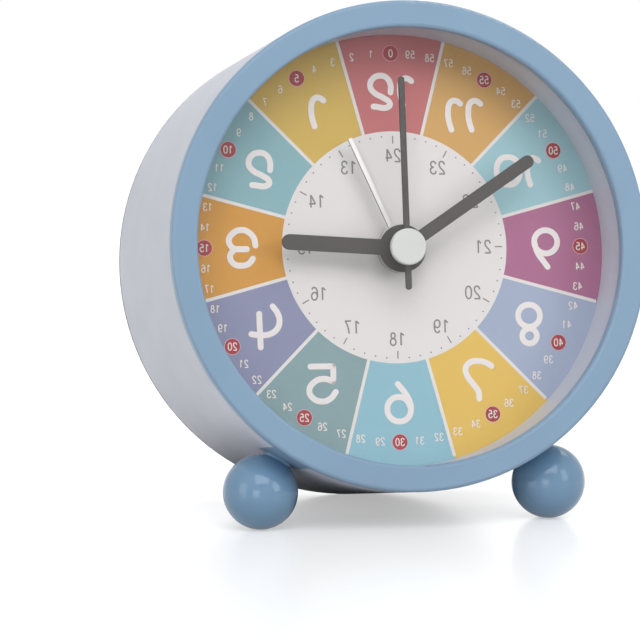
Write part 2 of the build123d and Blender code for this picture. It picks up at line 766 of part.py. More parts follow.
# Black moulding that closes the case: a rimmed disc with a collar, a stepped recess for the
# controls, wells for the two knobs, and a bay, a seat and a latch pocket for the battery.
with BuildPart() as rear_cover:
    with BuildSketch(clock.offset(rear_z)):
        Circle(case_rear_radius)
    extrude(amount=cover_edge)
    fillet(rear_cover.edges().group_by(Axis(clock.origin, clock.z_dir))[0], radius=cover_edge_round)
    with BuildSketch(clock.offset(rear_z + cover_edge / 2)):
        Circle(cover_plug_radius)
    extrude(amount=cover_thickness - cover_edge / 2)
    with BuildSketch(clock.offset(cover_inner_z)):
        ring_face(cover_plug_radius, collar_bore)
    extrude(amount=cover_collar_length)
    with BuildSketch(clock.offset(cover_inner_z)):
        boss_faces(loose_gap)
    extrude(amount=cover_collar_length, mode=Mode.SUBTRACT)
    # raised back of the recess, then the recess itself
    with BuildSketch(clock.offset(rear_z + cover_edge)) as recess_back:
        make_face(recess_outline())
        fillet(recess_back.vertices(), radius=recess_corner)
        Circle(recess_limit, mode=Mode.INTERSECT)
        offset(amount=recess_margin, kind=Kind.ARC)
    extrude(amount=recess_inner_z - rear_z - cover_edge)
    with BuildSketch(clock.offset(rear_z)) as recess_front:
        make_face(recess_outline())
        fillet(recess_front.vertices(), radius=recess_corner)
        Circle(recess_limit, mode=Mode.INTERSECT)
    extrude(amount=recess_depth, mode=Mode.SUBTRACT)
    # wells of the two knobs
    with BuildSketch(clock.offset(recess_floor_z)):
        with Locations(time_knob_at, alarm_knob_at):
            Circle(well_radius + well_wall)
    extrude(amount=well_length)
    with BuildSketch(clock.offset(recess_floor_z)):
        with Locations(time_knob_at, alarm_knob_at):
            Circle(well_radius)
    extrude(amount=well_length, mode=Mode.SUBTRACT)
    # holes for the light button, the alarm switch and the reset pin
    with BuildSketch(clock.offset(recess_floor_z)):
        with Locations((button_x, button_y)):
            Circle(button_radius + loose_gap)
        with Locations((slot_x, slot_y)):
            Rectangle(slot_width, slot_height)
        with Locations((reset_x, reset_y)):
            Circle(reset_radius)
    extrude(amount=cover_thickness, mode=Mode.SUBTRACT)
    # battery bay, the seat of its door and the latch pocket
    with BuildSketch(clock.offset(rear_z + cover_edge)):
        with Locations((0, battery_y)):
            Rectangle(bay_length + 2 * bay_wall, 2 * (bay_half_height + bay_wall))
    extrude(amount=bay_floor_z + bay_wall - rear_z - cover_edge)
    with BuildSketch(clock.offset(rear_z + cover_edge)):
        add(door_outline(moving_gap + bay_wall))
        Circle(cover_plug_radius, mode=Mode.INTERSECT)
    extrude(amount=seat_z + seat_thickness - rear_z - cover_edge)
    with BuildSketch(clock.offset(rear_z + cover_edge)):
        with Locations((0, pocket_y)):
            Rectangle(latch_pocket_width + 2 * bay_wall, latch_pocket_height + 2 * bay_wall)
    extrude(amount=latch_pocket_depth + bay_wall - cover_edge)
    with BuildSketch(clock.offset(rear_z)):
        add(door_outline(moving_gap))
    extrude(amount=door_rim, mode=Mode.SUBTRACT)
    with BuildSketch(clock.offset(rear_z)):
        with Locations((0, battery_y)):
            Rectangle(bay_length, 2 * bay_half_height)
    extrude(amount=bay_floor_z - rear_z, mode=Mode.SUBTRACT)
    with BuildSketch(clock.offset(rear_z)):
        with Locations((0, (pocket_top_y + pocket_bottom_y) / 2)):
            Rectangle(latch_pocket_width, pocket_top_y - pocket_bottom_y)
    extrude(amount=latch_pocket_depth, mode=Mode.SUBTRACT)
    # scoop for a fingertip below the latch
    with BuildSketch(clock.offset(rear_z)):
        with Locations((0, pocket_bottom_y)):
            Circle(scoop_radius)
        with Locations((0, pocket_bottom_y + scoop_radius / 2)):
            Rectangle(2 * scoop_radius, scoop_radius, mode=Mode.SUBTRACT)
    extrude(amount=scoop_depth, mode=Mode.SUBTRACT)
    # notches for the hooks along the door's top edge
    with BuildSketch(clock.offset(seat_z)):
        with Locations((-hook_x, door_top_y), (hook_x, door_top_y)):
            Rectangle(
                hook_width + 2 * moving_gap,
                hook_reach + moving_gap + door_height / 4,
                align=(Align.CENTER, Align.CENTER),
            )
    extrude(amount=seat_thickness + hook_thickness, mode=Mode.SUBTRACT)
    # posts that carry the control board
    with BuildSketch(clock.offset(recess_floor_z + loose_gap)):
        with Locations(*board_posts_at):
            Circle(board_post_radius)
    extrude(amount=control_board_z - recess_floor_z - loose_gap)
    with BuildSketch(clock.offset(control_board_z)):
        with Locations(*board_posts_at):
            Circle(board_pin_radius)
    extrude(amount=control_board_thickness)
    # collar that holds the buzzer
    with BuildSketch(clock.offset(cover_inner_z)):
        with Locations((buzzer_x, buzzer_y)):
            ring_face(buzzer_radius + loose_gap + buzzer_collar_wall, buzzer_radius + loose_gap)
    extrude(amount=buzzer_collar_length)
    # countersunk places of the case screws
    with BuildSketch(clock.offset(rear_z)):
        for angle in case_screw_angles:
            with Locations(polar(case_screw_circle, angle)):
                Circle(case_screw_head_radius + loose_gap)
    extrude(amount=case_screw_head + loose_gap, mode=Mode.SUBTRACT)
    with BuildSketch(clock.offset(rear_z)):
        for angle in case_screw_angles:
            with Locations(polar(case_screw_circle, angle)):
                Circle(case_screw_radius + loose_gap)
    extrude(amount=cover_thickness, mode=Mode.SUBTRACT)
    split(bisect_by=floor, keep=Keep.TOP)
save(rear_cover, "rear_cover")

# Three pan-head screws that hold the rear cover to the case's bosses.
with BuildPart() as case_screws:
    with BuildSketch(clock.offset(rear_z + loose_gap)):
        for angle in case_screw_angles:
            with Locations(polar(case_screw_circle, angle)):
                Circle(case_screw_head_radius)
    extrude(amount=case_screw_head)
    with BuildSketch(clock.offset(rear_z + loose_gap)):
        for angle in case_screw_angles:
            with Locations(polar(case_screw_circle, angle)):
                Circle(case_screw_radius)
    extrude(amount=case_screw_length - case_wall)
    with BuildSketch(clock.offset(rear_z + loose_gap)):
        for angle in case_screw_angles:
            with Locations(polar(case_screw_circle, angle)):
                Rectangle(1.2 * case_screw_head_radius, case_screw_head_radius / 4)
                Rectangle(case_screw_head_radius / 4, 1.2 * case_screw_head_radius)
    extrude(amount=case_screw_head / 2, mode=Mode.SUBTRACT)
save(case_screws, "case_screws")

# ---------------------------------------------------------------- battery and its door

# Door of the battery bay: a flat rim round a bulge that clears the cell, two hooks along its
# top edge that it turns on, and a folded latch at the bottom.
bulge_half = door_height / 2 - door_margin
bulge_radius = (bulge_half**2 + door_crown**2) / (2 * door_crown)
bulge_centre_z = rear_z - door_crown + bulge_radius
bulge_length = door_width - 2 * door_margin
door_inner_z = rear_z + door_rim
latch_y = door_bottom_y - moving_gap
latch_end_z = rear_z + latch_depth
latch_far_y = latch_y - latch_bend - latch_strip


def below_door(radius):
    """End view of the bulge: a circle cut off at the door's inner face."""
    with Locations((battery_y, bulge_centre_z)):
        Circle(radius)
    with Locations((battery_y, door_inner_z)):
        Rectangle(4 * radius, 4 * radius, align=(Align.CENTER, Align.MIN), mode=Mode.SUBTRACT)


with BuildPart() as battery_door:
    with BuildSketch(side_view.offset(-bulge_length / 2)):
        below_door(bulge_radius)
    extrude(amount=bulge_length)
    with BuildSketch(clock.offset(rear_z - door_crown)):
        add(door_outline(-door_margin))
    extrude(amount=door_crown + door_rim, mode=Mode.INTERSECT)
    with BuildSketch(clock.offset(rear_z)):
        add(door_outline(0))
    extrude(amount=door_rim)
    with BuildSketch(side_view.offset(door_thickness - bulge_length / 2)):
        below_door(bulge_radius - door_thickness)
    extrude(amount=bulge_length - 2 * door_thickness, mode=Mode.SUBTRACT)
    for x in (-hook_x, hook_x):
        with BuildSketch(side_view.offset(x - hook_width / 2)):
            with BuildLine():
                Polyline(
                    (door_top_y, door_inner_z),
                    (door_top_y, door_inner_z + moving_gap),
                    (door_top_y + hook_reach, door_inner_z + moving_gap),
                    (door_top_y + hook_reach, door_inner_z + moving_gap + hook_thickness),
                    (door_top_y - hook_reach, door_inner_z + moving_gap + hook_thickness),
                    (door_top_y - hook_reach, door_inner_z),
                    close=True,
                )
            make_face()
        extrude(amount=hook_width)
    with BuildSketch(side_view.offset(-latch_width / 2)):
        with BuildLine():
            Polyline(
                (door_bottom_y + latch_strip, rear_z),
                (latch_y - latch_strip, rear_z),
                (latch_y - latch_strip, latch_end_z - latch_strip),
                (latch_y - latch_bend, latch_end_z - latch_strip),
                (latch_y - latch_bend, rear_z + moving_gap),
                (latch_far_y, rear_z + moving_gap),
                (latch_far_y, rear_z + latch_strip),
                (latch_far_y - latch_nose, rear_z + latch_strip + latch_nose),
                (latch_far_y, rear_z + latch_strip + 2 * latch_nose),
                (latch_far_y, latch_end_z),
                (latch_y, latch_end_z),
                (latch_y, door_inner_z),
                (door_bottom_y + latch_strip, door_inner_z),
                close=True,
            )
        make_face()
    extrude(amount=latch_width)
save(battery_door, "battery_door")

# One round cell, its nub against the flat contact.
battery_left = bay_length / 2 - contact_thickness - battery_nub - battery_length
across_bay = Plane(origin=clock.origin, x_dir=clock.y_dir, z_dir=clock.x_dir)
with BuildPart() as battery_cell:
    with BuildSketch(across_bay.offset(battery_left)):
        with Locations((battery_y, battery_z)):
            Circle(battery_radius)
    extrude(amount=battery_length)
    with BuildSketch(across_bay.offset(battery_left + battery_length)):
        with Locations((battery_y, battery_z)):
            Circle(battery_nub_radius)
    extrude(amount=battery_nub)
save(battery_cell, "battery_cell")

# Flat contact at the nub's end of the bay.
with BuildPart() as plate_contact:
    with BuildSketch(across_bay.offset(bay_length / 2 - contact_thickness)):
        with Locations((battery_y, battery_z)):
            Rectangle(contact_height, contact_width)
    extrude(amount=contact_thickness)
save(plate_contact, "plate_contact")

# Coil-spring contact at the other end, with its own backing plate.
spring_left = contact_thickness + spring_wire / 2 - bay_length / 2
spring_height = battery_left - spring_wire - running_gap - spring_left
spring_start = Plane(
    origin=across_bay.from_local_coords((battery_y, battery_z, spring_left)),
    x_dir=clock.y_dir,
    z_dir=clock.x_dir,
)
with BuildPart() as spring_contact:
    with BuildSketch(across_bay.offset(-bay_length / 2)):
        with Locations((battery_y, battery_z)):
            Rectangle(contact_height, contact_width)
    extrude(amount=contact_thickness)
    with BuildLine(spring_start) as coil_line:
        coil_path = Helix(
            pitch=spring_height / spring_turns,
            height=spring_height,
            radius=spring_radius,
            direction=spring_start.z_dir,
        )
    with BuildSketch(Plane(origin=coil_path @ 0, z_dir=coil_path % 0)):
        Circle(spring_wire)
    sweep(path=coil_path)
save(spring_contact, "spring_contact")

# ---------------------------------------------------------------- controls

# Board behind the recess, heat-staked on the two posts of the rear cover.
with BuildPart() as control_board:
    with BuildSketch(clock.offset(control_board_z)):
        with Locations((control_board_left, (control_board_low + control_board_high) / 2)):
            Rectangle(
                control_board_reach,
                control_board_high - control_board_low,
                align=(Align.MIN, Align.CENTER),
            )
        Circle(control_board_reach, mode=Mode.INTERSECT)
        with Locations(*board_posts_at):
            Circle(board_pin_radius + running_gap, mode=Mode.SUBTRACT)
    extrude(amount=control_board_thickness)
save(control_board, "control_board")

# Push switch under the light button.
tact_face_z = control_board_z - tact_height
with BuildPart() as light_switch:
    with BuildSketch(clock.offset(tact_face_z)):
        with Locations((button_x, button_y)):
            Rectangle(tact_size, tact_size)
    extrude(amount=tact_height)
    with BuildSketch(clock.offset(tact_face_z - tact_plunger)):
        with Locations((button_x, button_y)):
            Circle(tact_plunger_radius)
    extrude(amount=tact_plunger)
save(light_switch, "light_switch")

# White push button for the night light; its flange stops it behind the recess floor.
button_back_z = recess_inner_z + moving_gap + button_flange_thickness
with BuildPart() as light_button:
    with BuildSketch(clock.offset(recess_floor_z - button_proud)):
        with Locations((button_x, button_y)):
            Circle(button_radius)
    extrude(amount=button_back_z - recess_floor_z + button_proud)
    fillet(light_button.edges().group_by(hand_axis)[0], radius=button_flange_thickness / 2)
    with BuildSketch(clock.offset(button_back_z - button_flange_thickness)):
        with Locations((button_x, button_y)):
            Circle(button_radius + button_flange)
    extrude(amount=button_flange_thickness)
save(light_button, "light_button")

# Slide switch on the board, with a guideway for the foot of its slider.
slide_case_face_z = control_board_z - slide_case_depth
with BuildPart() as slide_switch:
    with BuildSketch(clock.offset(slide_case_face_z)):
        with Locations((slot_x, slot_y)):
            Rectangle(slide_case_width, slide_case_height)
    extrude(amount=slide_case_depth)
    with BuildSketch(clock.offset(slide_case_face_z)):
        with Locations((slot_x, slot_y)):
            Rectangle(slider_stem + 2 * loose_gap, slider_stem + slider_travel + 2 * loose_gap)
    extrude(amount=slide_case_depth - slide_case_wall, mode=Mode.SUBTRACT)
save(slide_switch, "slide_switch")

# Slider of the alarm switch: a ribbed head in the slot, a flange behind it and a foot.
slider_face_z = recess_floor_z - slider_proud
slider_flange_z = recess_inner_z + moving_gap
slider_width = slot_width - 2 * loose_gap
with BuildPart() as alarm_slider:
    with BuildSketch(clock.offset(slider_face_z)):
        with Locations((slot_x, slider_y)):
            Rectangle(slider_width, slider_height)
    extrude(amount=slider_flange_z - slider_face_z)
    with BuildSketch(clock.offset(slider_flange_z)):
        with Locations((slot_x, slider_y)):
            Rectangle(slider_width + slider_stem / 2, slider_height + slider_stem / 2)
    extrude(amount=moving_gap + slide_case_wall)
    with BuildSketch(clock.offset(slider_flange_z)):
        with Locations((slot_x, slider_y)):
            Rectangle(slider_stem, slider_stem)
    extrude(amount=slide_case_face_z + slide_case_depth / 2 - slider_flange_z)
    with BuildSketch(clock.offset(slider_face_z)):
        with Locations((slot_x, slider_y)):
            with GridLocations(0, slider_height / 4, 1, 3):
                Rectangle(slider_width, slider_height / 8)
    extrude(amount=slider_proud / 2, mode=Mode.SUBTRACT)
save(alarm_slider, "alarm_slider")

# Buzzer can, open at its sound hole, in the collar of the rear cover.
with BuildPart() as buzzer:
    with BuildSketch(clock.offset(cover_inner_z)):
        with Locations((buzzer_x, buzzer_y)):
            Circle(buzzer_radius)
    extrude(amount=buzzer_height)
    fillet(buzzer.edges().group_by(hand_axis)[-1], radius=loose_gap * 2)
    with BuildSketch(clock.offset(cover_inner_z + buzzer_height / 2)):
        with Locations((buzzer_x, buzzer_y)):
            Circle(buzzer_hole_radius)
    extrude(amount=buzzer_height / 2, mode=Mode.SUBTRACT)
save(buzzer, "buzzer")

# ---------------------------------------------------------------- movement housing

arbor_holes = pivot_radius + running_gap
shaft_holes = pinion_shaft_radius + running_gap
plate_bottom = coil_y + plate_rise
plate_top = movement_bottom + movement_height - housing_wall - loose_gap
plate_side = movement_width / 2 - housing_wall - loose_gap
pillars_x = movement_width / 2 - housing_wall - pillar / 2
pillars_high_y = movement_bottom + movement_height - housing_wall - pillar / 2
pillars_low_y = plate_bottom + pillar / 2
pillars_at = [
    (movement_at[0] + x, y) for x in (-pillars_x, pillars_x) for y in (pillars_low_y, pillars_high_y)
]


# Front half of the movement's housing: a tray with a bush for the hands' tubes, four pillars,
# fixed studs for the motion wheel and the alarm idler, and four ears for its screws.
with BuildPart() as movement_front:
    with BuildSketch(clock.offset(split_z)):
        with Locations(movement_at):
            Rectangle(movement_width, movement_height)
    extrude(amount=-dial_thickness - split_z)
    with BuildSketch(clock.offset(split_z)):
        with Locations(movement_at):
            Rectangle(movement_width - 2 * housing_wall, movement_height - 2 * housing_wall)
    extrude(amount=front_wall_back - split_z, mode=Mode.SUBTRACT)
    with BuildSketch(clock.offset(plate_front)):
        with Locations(*pillars_at):
            Rectangle(pillar, pillar)
    extrude(amount=front_wall_back - plate_front)
    with BuildSketch(clock.offset(-dial_thickness)):
        Circle(bush_radius)
    extrude(amount=dial_thickness + bush_height)
    with BuildSketch(clock.offset(layer(3) - layer_gap / 2)):
        with Locations(motion_at):
            Circle(stud_radius)
    extrude(amount=front_wall_back - layer(3) + layer_gap / 2)
    with BuildSketch(clock.offset(layer(1) - layer_gap / 2)):
        with Locations(idler_at):
            Circle(stud_radius)
    extrude(amount=front_wall_back - layer(1) + layer_gap / 2)
    with BuildSketch(clock.offset(-dial_thickness - dial_boss_height - ear_thickness)):
        with Locations(movement_at):
            with GridLocations(2 * ear_x - ear_length / 2, 2 * ear_y, 2, 2):
                Rectangle(1.5 * ear_length, ear_width)
            Rectangle(movement_width - housing_wall, movement_height, mode=Mode.SUBTRACT)
        with Locations(*ears_at):
            Circle(movement_screw_radius + loose_gap, mode=Mode.SUBTRACT)
    extrude(amount=ear_thickness)
    with BuildSketch(clock.offset(front_wall_back)):
        Circle(alarm_tube_radius + running_gap)
        with Locations(third_at, time_knob_at, alarm_knob_at):
            Circle(arbor_holes)
    extrude(amount=housing_wall + dial_thickness + bush_height, mode=Mode.SUBTRACT)
save(movement_front, "movement_front")

# Middle plate between the wheels of the hands and those of the motor.
with BuildPart() as movement_plate:
    with BuildSketch(clock.offset(plate_back)):
        with Locations((movement_at[0], plate_top)):
            Rectangle(2 * plate_side, plate_top - plate_bottom, align=(Align.CENTER, Align.MAX))
        Circle(second_tube_radius, mode=Mode.SUBTRACT)
        with Locations(third_at, step_at, rotor_at):
            Circle(arbor_holes, mode=Mode.SUBTRACT)
        with Locations(time_knob_at, alarm_knob_at):
            Circle(shaft_holes, mode=Mode.SUBTRACT)
    extrude(amount=wheel_thickness)
save(movement_plate, "movement_plate")

stator_z = layer(7)
stator_left = coil_left - bobbin_flange - stator_leg
stator_shelf_y = coil_y + bobbin_half + loose_gap + stator_leg / 2
stator_posts_at = (
    (stator_left + stator_leg / 2, stator_shelf_y),
    (rotor_at[0], stator_shelf_y),
)

# Rear half of the housing, with pillars that press the middle plate home, two posts for the
# quartz board and two for the stator.
quartz_board_left = movement_left + housing_wall + quartz_board_inset
quartz_board_width = (
    coil_left - bobbin_flange - stator_leg - quartz_board_gap - quartz_board_left
)
quartz_board_x = quartz_board_left + quartz_board_width / 2
quartz_board_y = movement_bottom + housing_wall + quartz_board_rise + quartz_board_height / 2
quartz_posts_at = [
    (quartz_board_x - quartz_board_width / 4, quartz_board_y),
    (quartz_board_x + quartz_board_width / 4, quartz_board_y),
]
with BuildPart() as movement_back:
    with BuildSketch(clock.offset(back_wall_back)):
        with Locations(movement_at):
            Rectangle(movement_width, movement_height)
    extrude(amount=split_z - back_wall_back)
    with BuildSketch(clock.offset(back_wall_front)):
        with Locations(movement_at):
            Rectangle(movement_width - 2 * housing_wall, movement_height - 2 * housing_wall)
    extrude(amount=split_z - back_wall_front, mode=Mode.SUBTRACT)
    with BuildSketch(clock.offset(back_wall_front)):
        with Locations(*pillars_at):
            Rectangle(pillar, pillar)
    extrude(amount=plate_back - back_wall_front)
    with BuildSketch(clock.offset(back_wall_front)):
        with Locations(*quartz_posts_at):
            Circle(board_post_radius)
    extrude(amount=quartz_board_lift)
    with BuildSketch(clock.offset(back_wall_front)):
        with Locations(*stator_posts_at):
            Circle(stator_post_radius)
    extrude(amount=stator_z - back_wall_front)
    with BuildSketch(clock.offset(stator_z)):
        with Locations(*stator_posts_at):
            Circle(stator_pin_radius)
    extrude(amount=wheel_thickness)
    with BuildSketch(clock.offset(back_wall_back)):
        Circle(second_arbor_radius + running_gap)
        with Locations(third_at, step_at, rotor_at):
            Circle(arbor_holes)
        with Locations(time_knob_at, alarm_knob_at):
            Circle(shaft_holes)
    extrude(amount=housing_wall, mode=Mode.SUBTRACT)
save(movement_back, "movement_back")

# Four screws through the ears into the bosses of the dial.
with BuildPart() as movement_screws:
    ear_back_z = -dial_thickness - dial_boss_height - ear_thickness
    with BuildSketch(clock.offset(ear_back_z - movement_screw_head)):
        with Locations(*ears_at):
            Circle(movement_screw_head_radius)
    extrude(amount=movement_screw_head)
    with BuildSketch(clock.offset(ear_back_z - movement_screw_head)):
        with Locations(*ears_at):
            Circle(movement_screw_radius)
    extrude(amount=movement_screw_head + ear_thickness + dial_boss_height - loose_gap)
save(movement_screws, "movement_screws")

# ---------------------------------------------------------------- motor and electronics

core_z = stator_z - wheel_thickness
coil_z = core_z + wheel_thickness / 2
stator_bore = rotor_magnet_radius + stator_gap
stator_right = rotor_at[0] + stator_leg / 2
stator_low = coil_y - core_width / 2

# Soft-iron stator: a plate bored round the rotor, with two legs down to the coil's core.
with BuildPart() as stator:
    with BuildSketch(clock.offset(stator_z)):
        with Locations(rotor_at):
            Circle(stator_bore + stator_rim)
            Rectangle(stator_leg, rotor_at[1] - stator_low, align=(Align.CENTER, Align.MAX))
        with Locations((stator_left, stator_shelf_y)):
            Rectangle(rotor_at[0] - stator_left, stator_leg, align=(Align.MIN, Align.CENTER))
        with Locations((stator_left, stator_shelf_y)):
            Rectangle(stator_leg, stator_shelf_y - stator_low, align=(Align.MIN, Align.MAX))
        with Locations(rotor_at):
            Circle(stator_bore, mode=Mode.SUBTRACT)
        with Locations(*stator_posts_at):
            Circle(stator_pin_radius + loose_gap, mode=Mode.SUBTRACT)
    extrude(amount=wheel_thickness)
save(stator, "stator")

# Core bar of the coil, lapped under the two legs of the stator.
with BuildPart() as coil_core:
    with BuildSketch(clock.offset(core_z)):
        with Locations((stator_left, coil_y)):
            Rectangle(stator_right - stator_left, core_width, align=(Align.MIN, Align.CENTER))
    extrude(amount=wheel_thickness)
save(coil_core, "coil_core")

# Bobbin with square flanges, a close fit on the core bar.
bobbin_tube = sqrt(core_width**2 + wheel_thickness**2) / 2 + bobbin_tube_wall
with BuildPart() as coil_bobbin:
    with BuildSketch(across_bay.offset(coil_left - bobbin_flange)):
        with Locations((coil_y, coil_z)):
            Circle(bobbin_tube)
    extrude(amount=coil_right - coil_left + 2 * bobbin_flange)
    for x in (coil_left - bobbin_flange, coil_right):
        with BuildSketch(across_bay.offset(x)):
            with Locations((coil_y, coil_z)):
                Rectangle(2 * bobbin_half, 2 * bobbin_half)
        extrude(amount=bobbin_flange)
    with BuildSketch(across_bay.offset(coil_left - bobbin_flange)):
        with Locations((coil_y, coil_z)):
            Rectangle(core_width, wheel_thickness)
    extrude(amount=coil_right - coil_left + 2 * bobbin_flange, mode=Mode.SUBTRACT)
save(coil_bobbin, "coil_bobbin")

# Copper winding on the bobbin.
with BuildPart() as coil_winding:
    with BuildSketch(across_bay.offset(coil_left)):
        with Locations((coil_y, coil_z)):
            Circle(coil_radius)
            Circle(bobbin_tube, mode=Mode.SUBTRACT)
    extrude(amount=coil_right - coil_left)
save(coil_winding, "coil_winding")

# Quartz board on its two posts, and the two components on it.
quartz_board_z = back_wall_front + quartz_board_lift
with BuildPart() as quartz_board:
    with BuildSketch(clock.offset(quartz_board_z)):
        with Locations((quartz_board_x, quartz_board_y)):
            Rectangle(quartz_board_width, quartz_board_height)
    extrude(amount=quartz_board_thickness)
    with BuildSketch(clock.offset(quartz_board_z + quartz_board_thickness)):
        with Locations((quartz_board_x - quartz_board_width / 4, quartz_board_y)):
            Circle(chip_radius)
    extrude(amount=chip_height)
    fillet(quartz_board.edges().group_by(hand_axis)[-1], radius=chip_height * 0.6)
save(quartz_board, "quartz_board")

# Crystal in its metal can, lying on the board.
with BuildPart() as crystal:
    with BuildSketch(
        Plane(
            origin=clock.from_local_coords(
                (
                    quartz_board_x + quartz_board_width / 4,
                    quartz_board_y - crystal_length / 2,
                    quartz_board_z + quartz_board_thickness + crystal_radius,
                )
            ),
            x_dir=clock.x_dir,
            z_dir=clock.y_dir,
        )
    ):
        Circle(crystal_radius)
    extrude(amount=crystal_length)
    fillet(crystal.edges().filter_by(GeomType.CIRCLE), radius=crystal_radius / 4)
save(crystal, "crystal")

# ---------------------------------------------------------------- phases of the gears

to_third = direction(hands_at, third_at)
to_step = direction(hands_at, step_at)
to_rotor = direction(step_at, rotor_at)
to_motion = direction(hands_at, motion_at)
to_time_shaft = direction(motion_at, time_knob_at)
to_idler = direction(hands_at, idler_at)
to_alarm_shaft = direction(idler_at, alarm_knob_at)

second_phase = 0
third_wheel_phase = mesh_phase(
    third_wheel_teeth, second_pinion_teeth, second_phase, to_third
)
third_pinion_phase = third_wheel_phase
centre_phase = (
    mesh_phase(centre_wheel_teeth, third_pinion_teeth, third_pinion_phase, to_third + 180)
)
step_pinion_phase = mesh_phase(step_pinion_teeth, second_wheel_teeth, second_phase, to_step)
step_wheel_phase = step_pinion_phase
rotor_phase = mesh_phase(rotor_teeth, step_wheel_teeth, step_wheel_phase, to_rotor)
cannon_phase = 0
motion_wheel_phase = mesh_phase(motion_wheel_teeth, cannon_teeth, cannon_phase, to_motion)
motion_pinion_phase = motion_wheel_phase
hour_wheel_phase = mesh_phase(
    hour_wheel_teeth, motion_pinion_teeth, motion_pinion_phase, to_motion + 180
)
set_pinion_phase = mesh_phase(
    set_pinion_teeth, motion_wheel_teeth, motion_wheel_phase, to_time_shaft
)
alarm_wheel_phase = 0
idler_phase = mesh_phase(alarm_idler_teeth, alarm_wheel_teeth, alarm_wheel_phase, to_idler)
alarm_pinion_phase = mesh_phase(
    alarm_pinion_teeth, alarm_idler_teeth, idler_phase, to_alarm_shaft
)

arbor_front_z = -dial_thickness - loose_gap
arbor_back_z = back_wall_back + loose_gap

# ---------------------------------------------------------------- wheels of the hands

# Alarm wheel and its tube, outermost on the axis.
with BuildPart() as alarm_wheel:
    with BuildSketch(clock.offset(layer(1))):
        gear_face(alarm_wheel_teeth, module_alarm, alarm_wheel_phase)
    extrude(amount=wheel_thickness)
    with BuildSketch(clock.offset(layer(1))):
        Circle(alarm_tube_radius)
    extrude(amount=alarm_hand_z + hand_thickness + tube_proud - layer(1))
    with BuildSketch(clock.offset(layer(1))):
        Circle(alarm_bore)
    extrude(amount=alarm_hand_z + hand_thickness + tube_proud - layer(1), mode=Mode.SUBTRACT)
save(alarm_wheel, "alarm_wheel")

# Idler between the alarm shaft and the alarm wheel, turning on a stud.
with BuildPart() as alarm_idler:
    with BuildSketch(clock.offset(layer(1))):
        with Locations(idler_at):
            gear_face(alarm_idler_teeth, module_alarm, idler_phase)
            Circle(stud_radius + running_gap, mode=Mode.SUBTRACT)
    extrude(amount=wheel_thickness)
save(alarm_idler, "alarm_idler")

# Hour wheel and its tube.
with BuildPart() as hour_wheel:
    with BuildSketch(clock.offset(layer(2))):
        gear_face(hour_wheel_teeth, module_hour, hour_wheel_phase)
    extrude(amount=wheel_thickness)
    with BuildSketch(clock.offset(layer(2))):
        Circle(hour_tube_radius)
    extrude(amount=hour_hand_z + hand_thickness + tube_proud - layer(2))
    with BuildSketch(clock.offset(layer(2))):
        Circle(hour_bore)
    extrude(amount=hour_hand_z + hand_thickness + tube_proud - layer(2), mode=Mode.SUBTRACT)
save(hour_wheel, "hour_wheel")

# Motion wheel with the pinion that drives the hour wheel, turning on a stud.
with BuildPart() as motion_wheel:
    with BuildSketch(clock.offset(layer(3))):
        with Locations(motion_at):
            gear_face(motion_wheel_teeth, module_motion, motion_wheel_phase)
    extrude(amount=wheel_thickness)
    with BuildSketch(clock.offset(layer(3) + wheel_thickness)):
        with Locations(motion_at):
            gear_face(motion_pinion_teeth, module_hour, motion_pinion_phase)
    extrude(amount=layer_gap + wheel_thickness)
    with BuildSketch(clock.offset(layer(3))):
        with Locations(motion_at):
            Circle(stud_radius + running_gap)
    extrude(amount=2 * wheel_thickness + layer_gap, mode=Mode.SUBTRACT)
save(motion_wheel, "motion_wheel")

# Minute arbor: a tube with the cannon pinion and a foot that the centre wheel rests on.
minute_foot_z = layer(plate_layers) - running_gap
with BuildPart() as minute_arbor:
    with BuildSketch(clock.offset(minute_foot_z - minute_foot_thickness)):
        Circle(minute_foot_radius)
    extrude(amount=minute_foot_thickness)
    with BuildSketch(clock.offset(minute_foot_z)):
        Circle(minute_tube_radius)
    extrude(amount=minute_hand_z + hand_thickness + tube_proud - minute_foot_z)
    with BuildSketch(clock.offset(layer(3))):
        gear_face(cannon_teeth, module_motion, cannon_phase)
    extrude(amount=wheel_thickness)
    with BuildSketch(clock.offset(minute_foot_z - minute_foot_thickness)):
        Circle(second_tube_radius)
    extrude(
        amount=minute_hand_z + hand_thickness + tube_proud - minute_foot_z
        + minute_foot_thickness,
        mode=Mode.SUBTRACT,
    )
save(minute_arbor, "minute_arbor")

# Dished spring washer that presses the centre wheel against that foot, so that the hands
# slip when they are set.
with BuildPart() as clutch_washer:
    with BuildSketch(section):
        with BuildLine():
            Polyline(
                (hour_bore, layer(3)),
                (clutch_radius, layer(3) - layer_gap + running_gap + clutch_thickness),
                (clutch_radius, layer(3) - layer_gap + running_gap),
                (hour_bore, layer(3) - clutch_thickness),
                close=True,
            )
        make_face()
    revolve(axis=hand_axis)
save(clutch_washer, "clutch_washer")

# ---------------------------------------------------------------- going train

# Centre wheel, a friction fit on the minute arbor.
with BuildPart() as centre_wheel:
    with BuildSketch(clock.offset(layer(4))):
        gear_face(centre_wheel_teeth, module_centre, centre_phase)
        Circle(minute_tube_radius + running_gap, mode=Mode.SUBTRACT)
    extrude(amount=wheel_thickness)
save(centre_wheel, "centre_wheel")

# Third wheel behind the plate with its pinion in front of it.
with BuildPart() as third_wheel:
    with BuildSketch(clock.offset(layer(6))):
        with Locations(third_at):
            gear_face(third_wheel_teeth, module_train, third_wheel_phase)
    extrude(amount=wheel_thickness)
    with BuildSketch(clock.offset(layer(4))):
        with Locations(third_at):
            gear_face(third_pinion_teeth, module_centre, third_pinion_phase)
    extrude(amount=wheel_thickness)
    with BuildSketch(clock.offset(arbor_back_z)):
        with Locations(third_at):
            Circle(pivot_radius)
    extrude(amount=arbor_front_z - arbor_back_z)
save(third_wheel, "third_wheel")

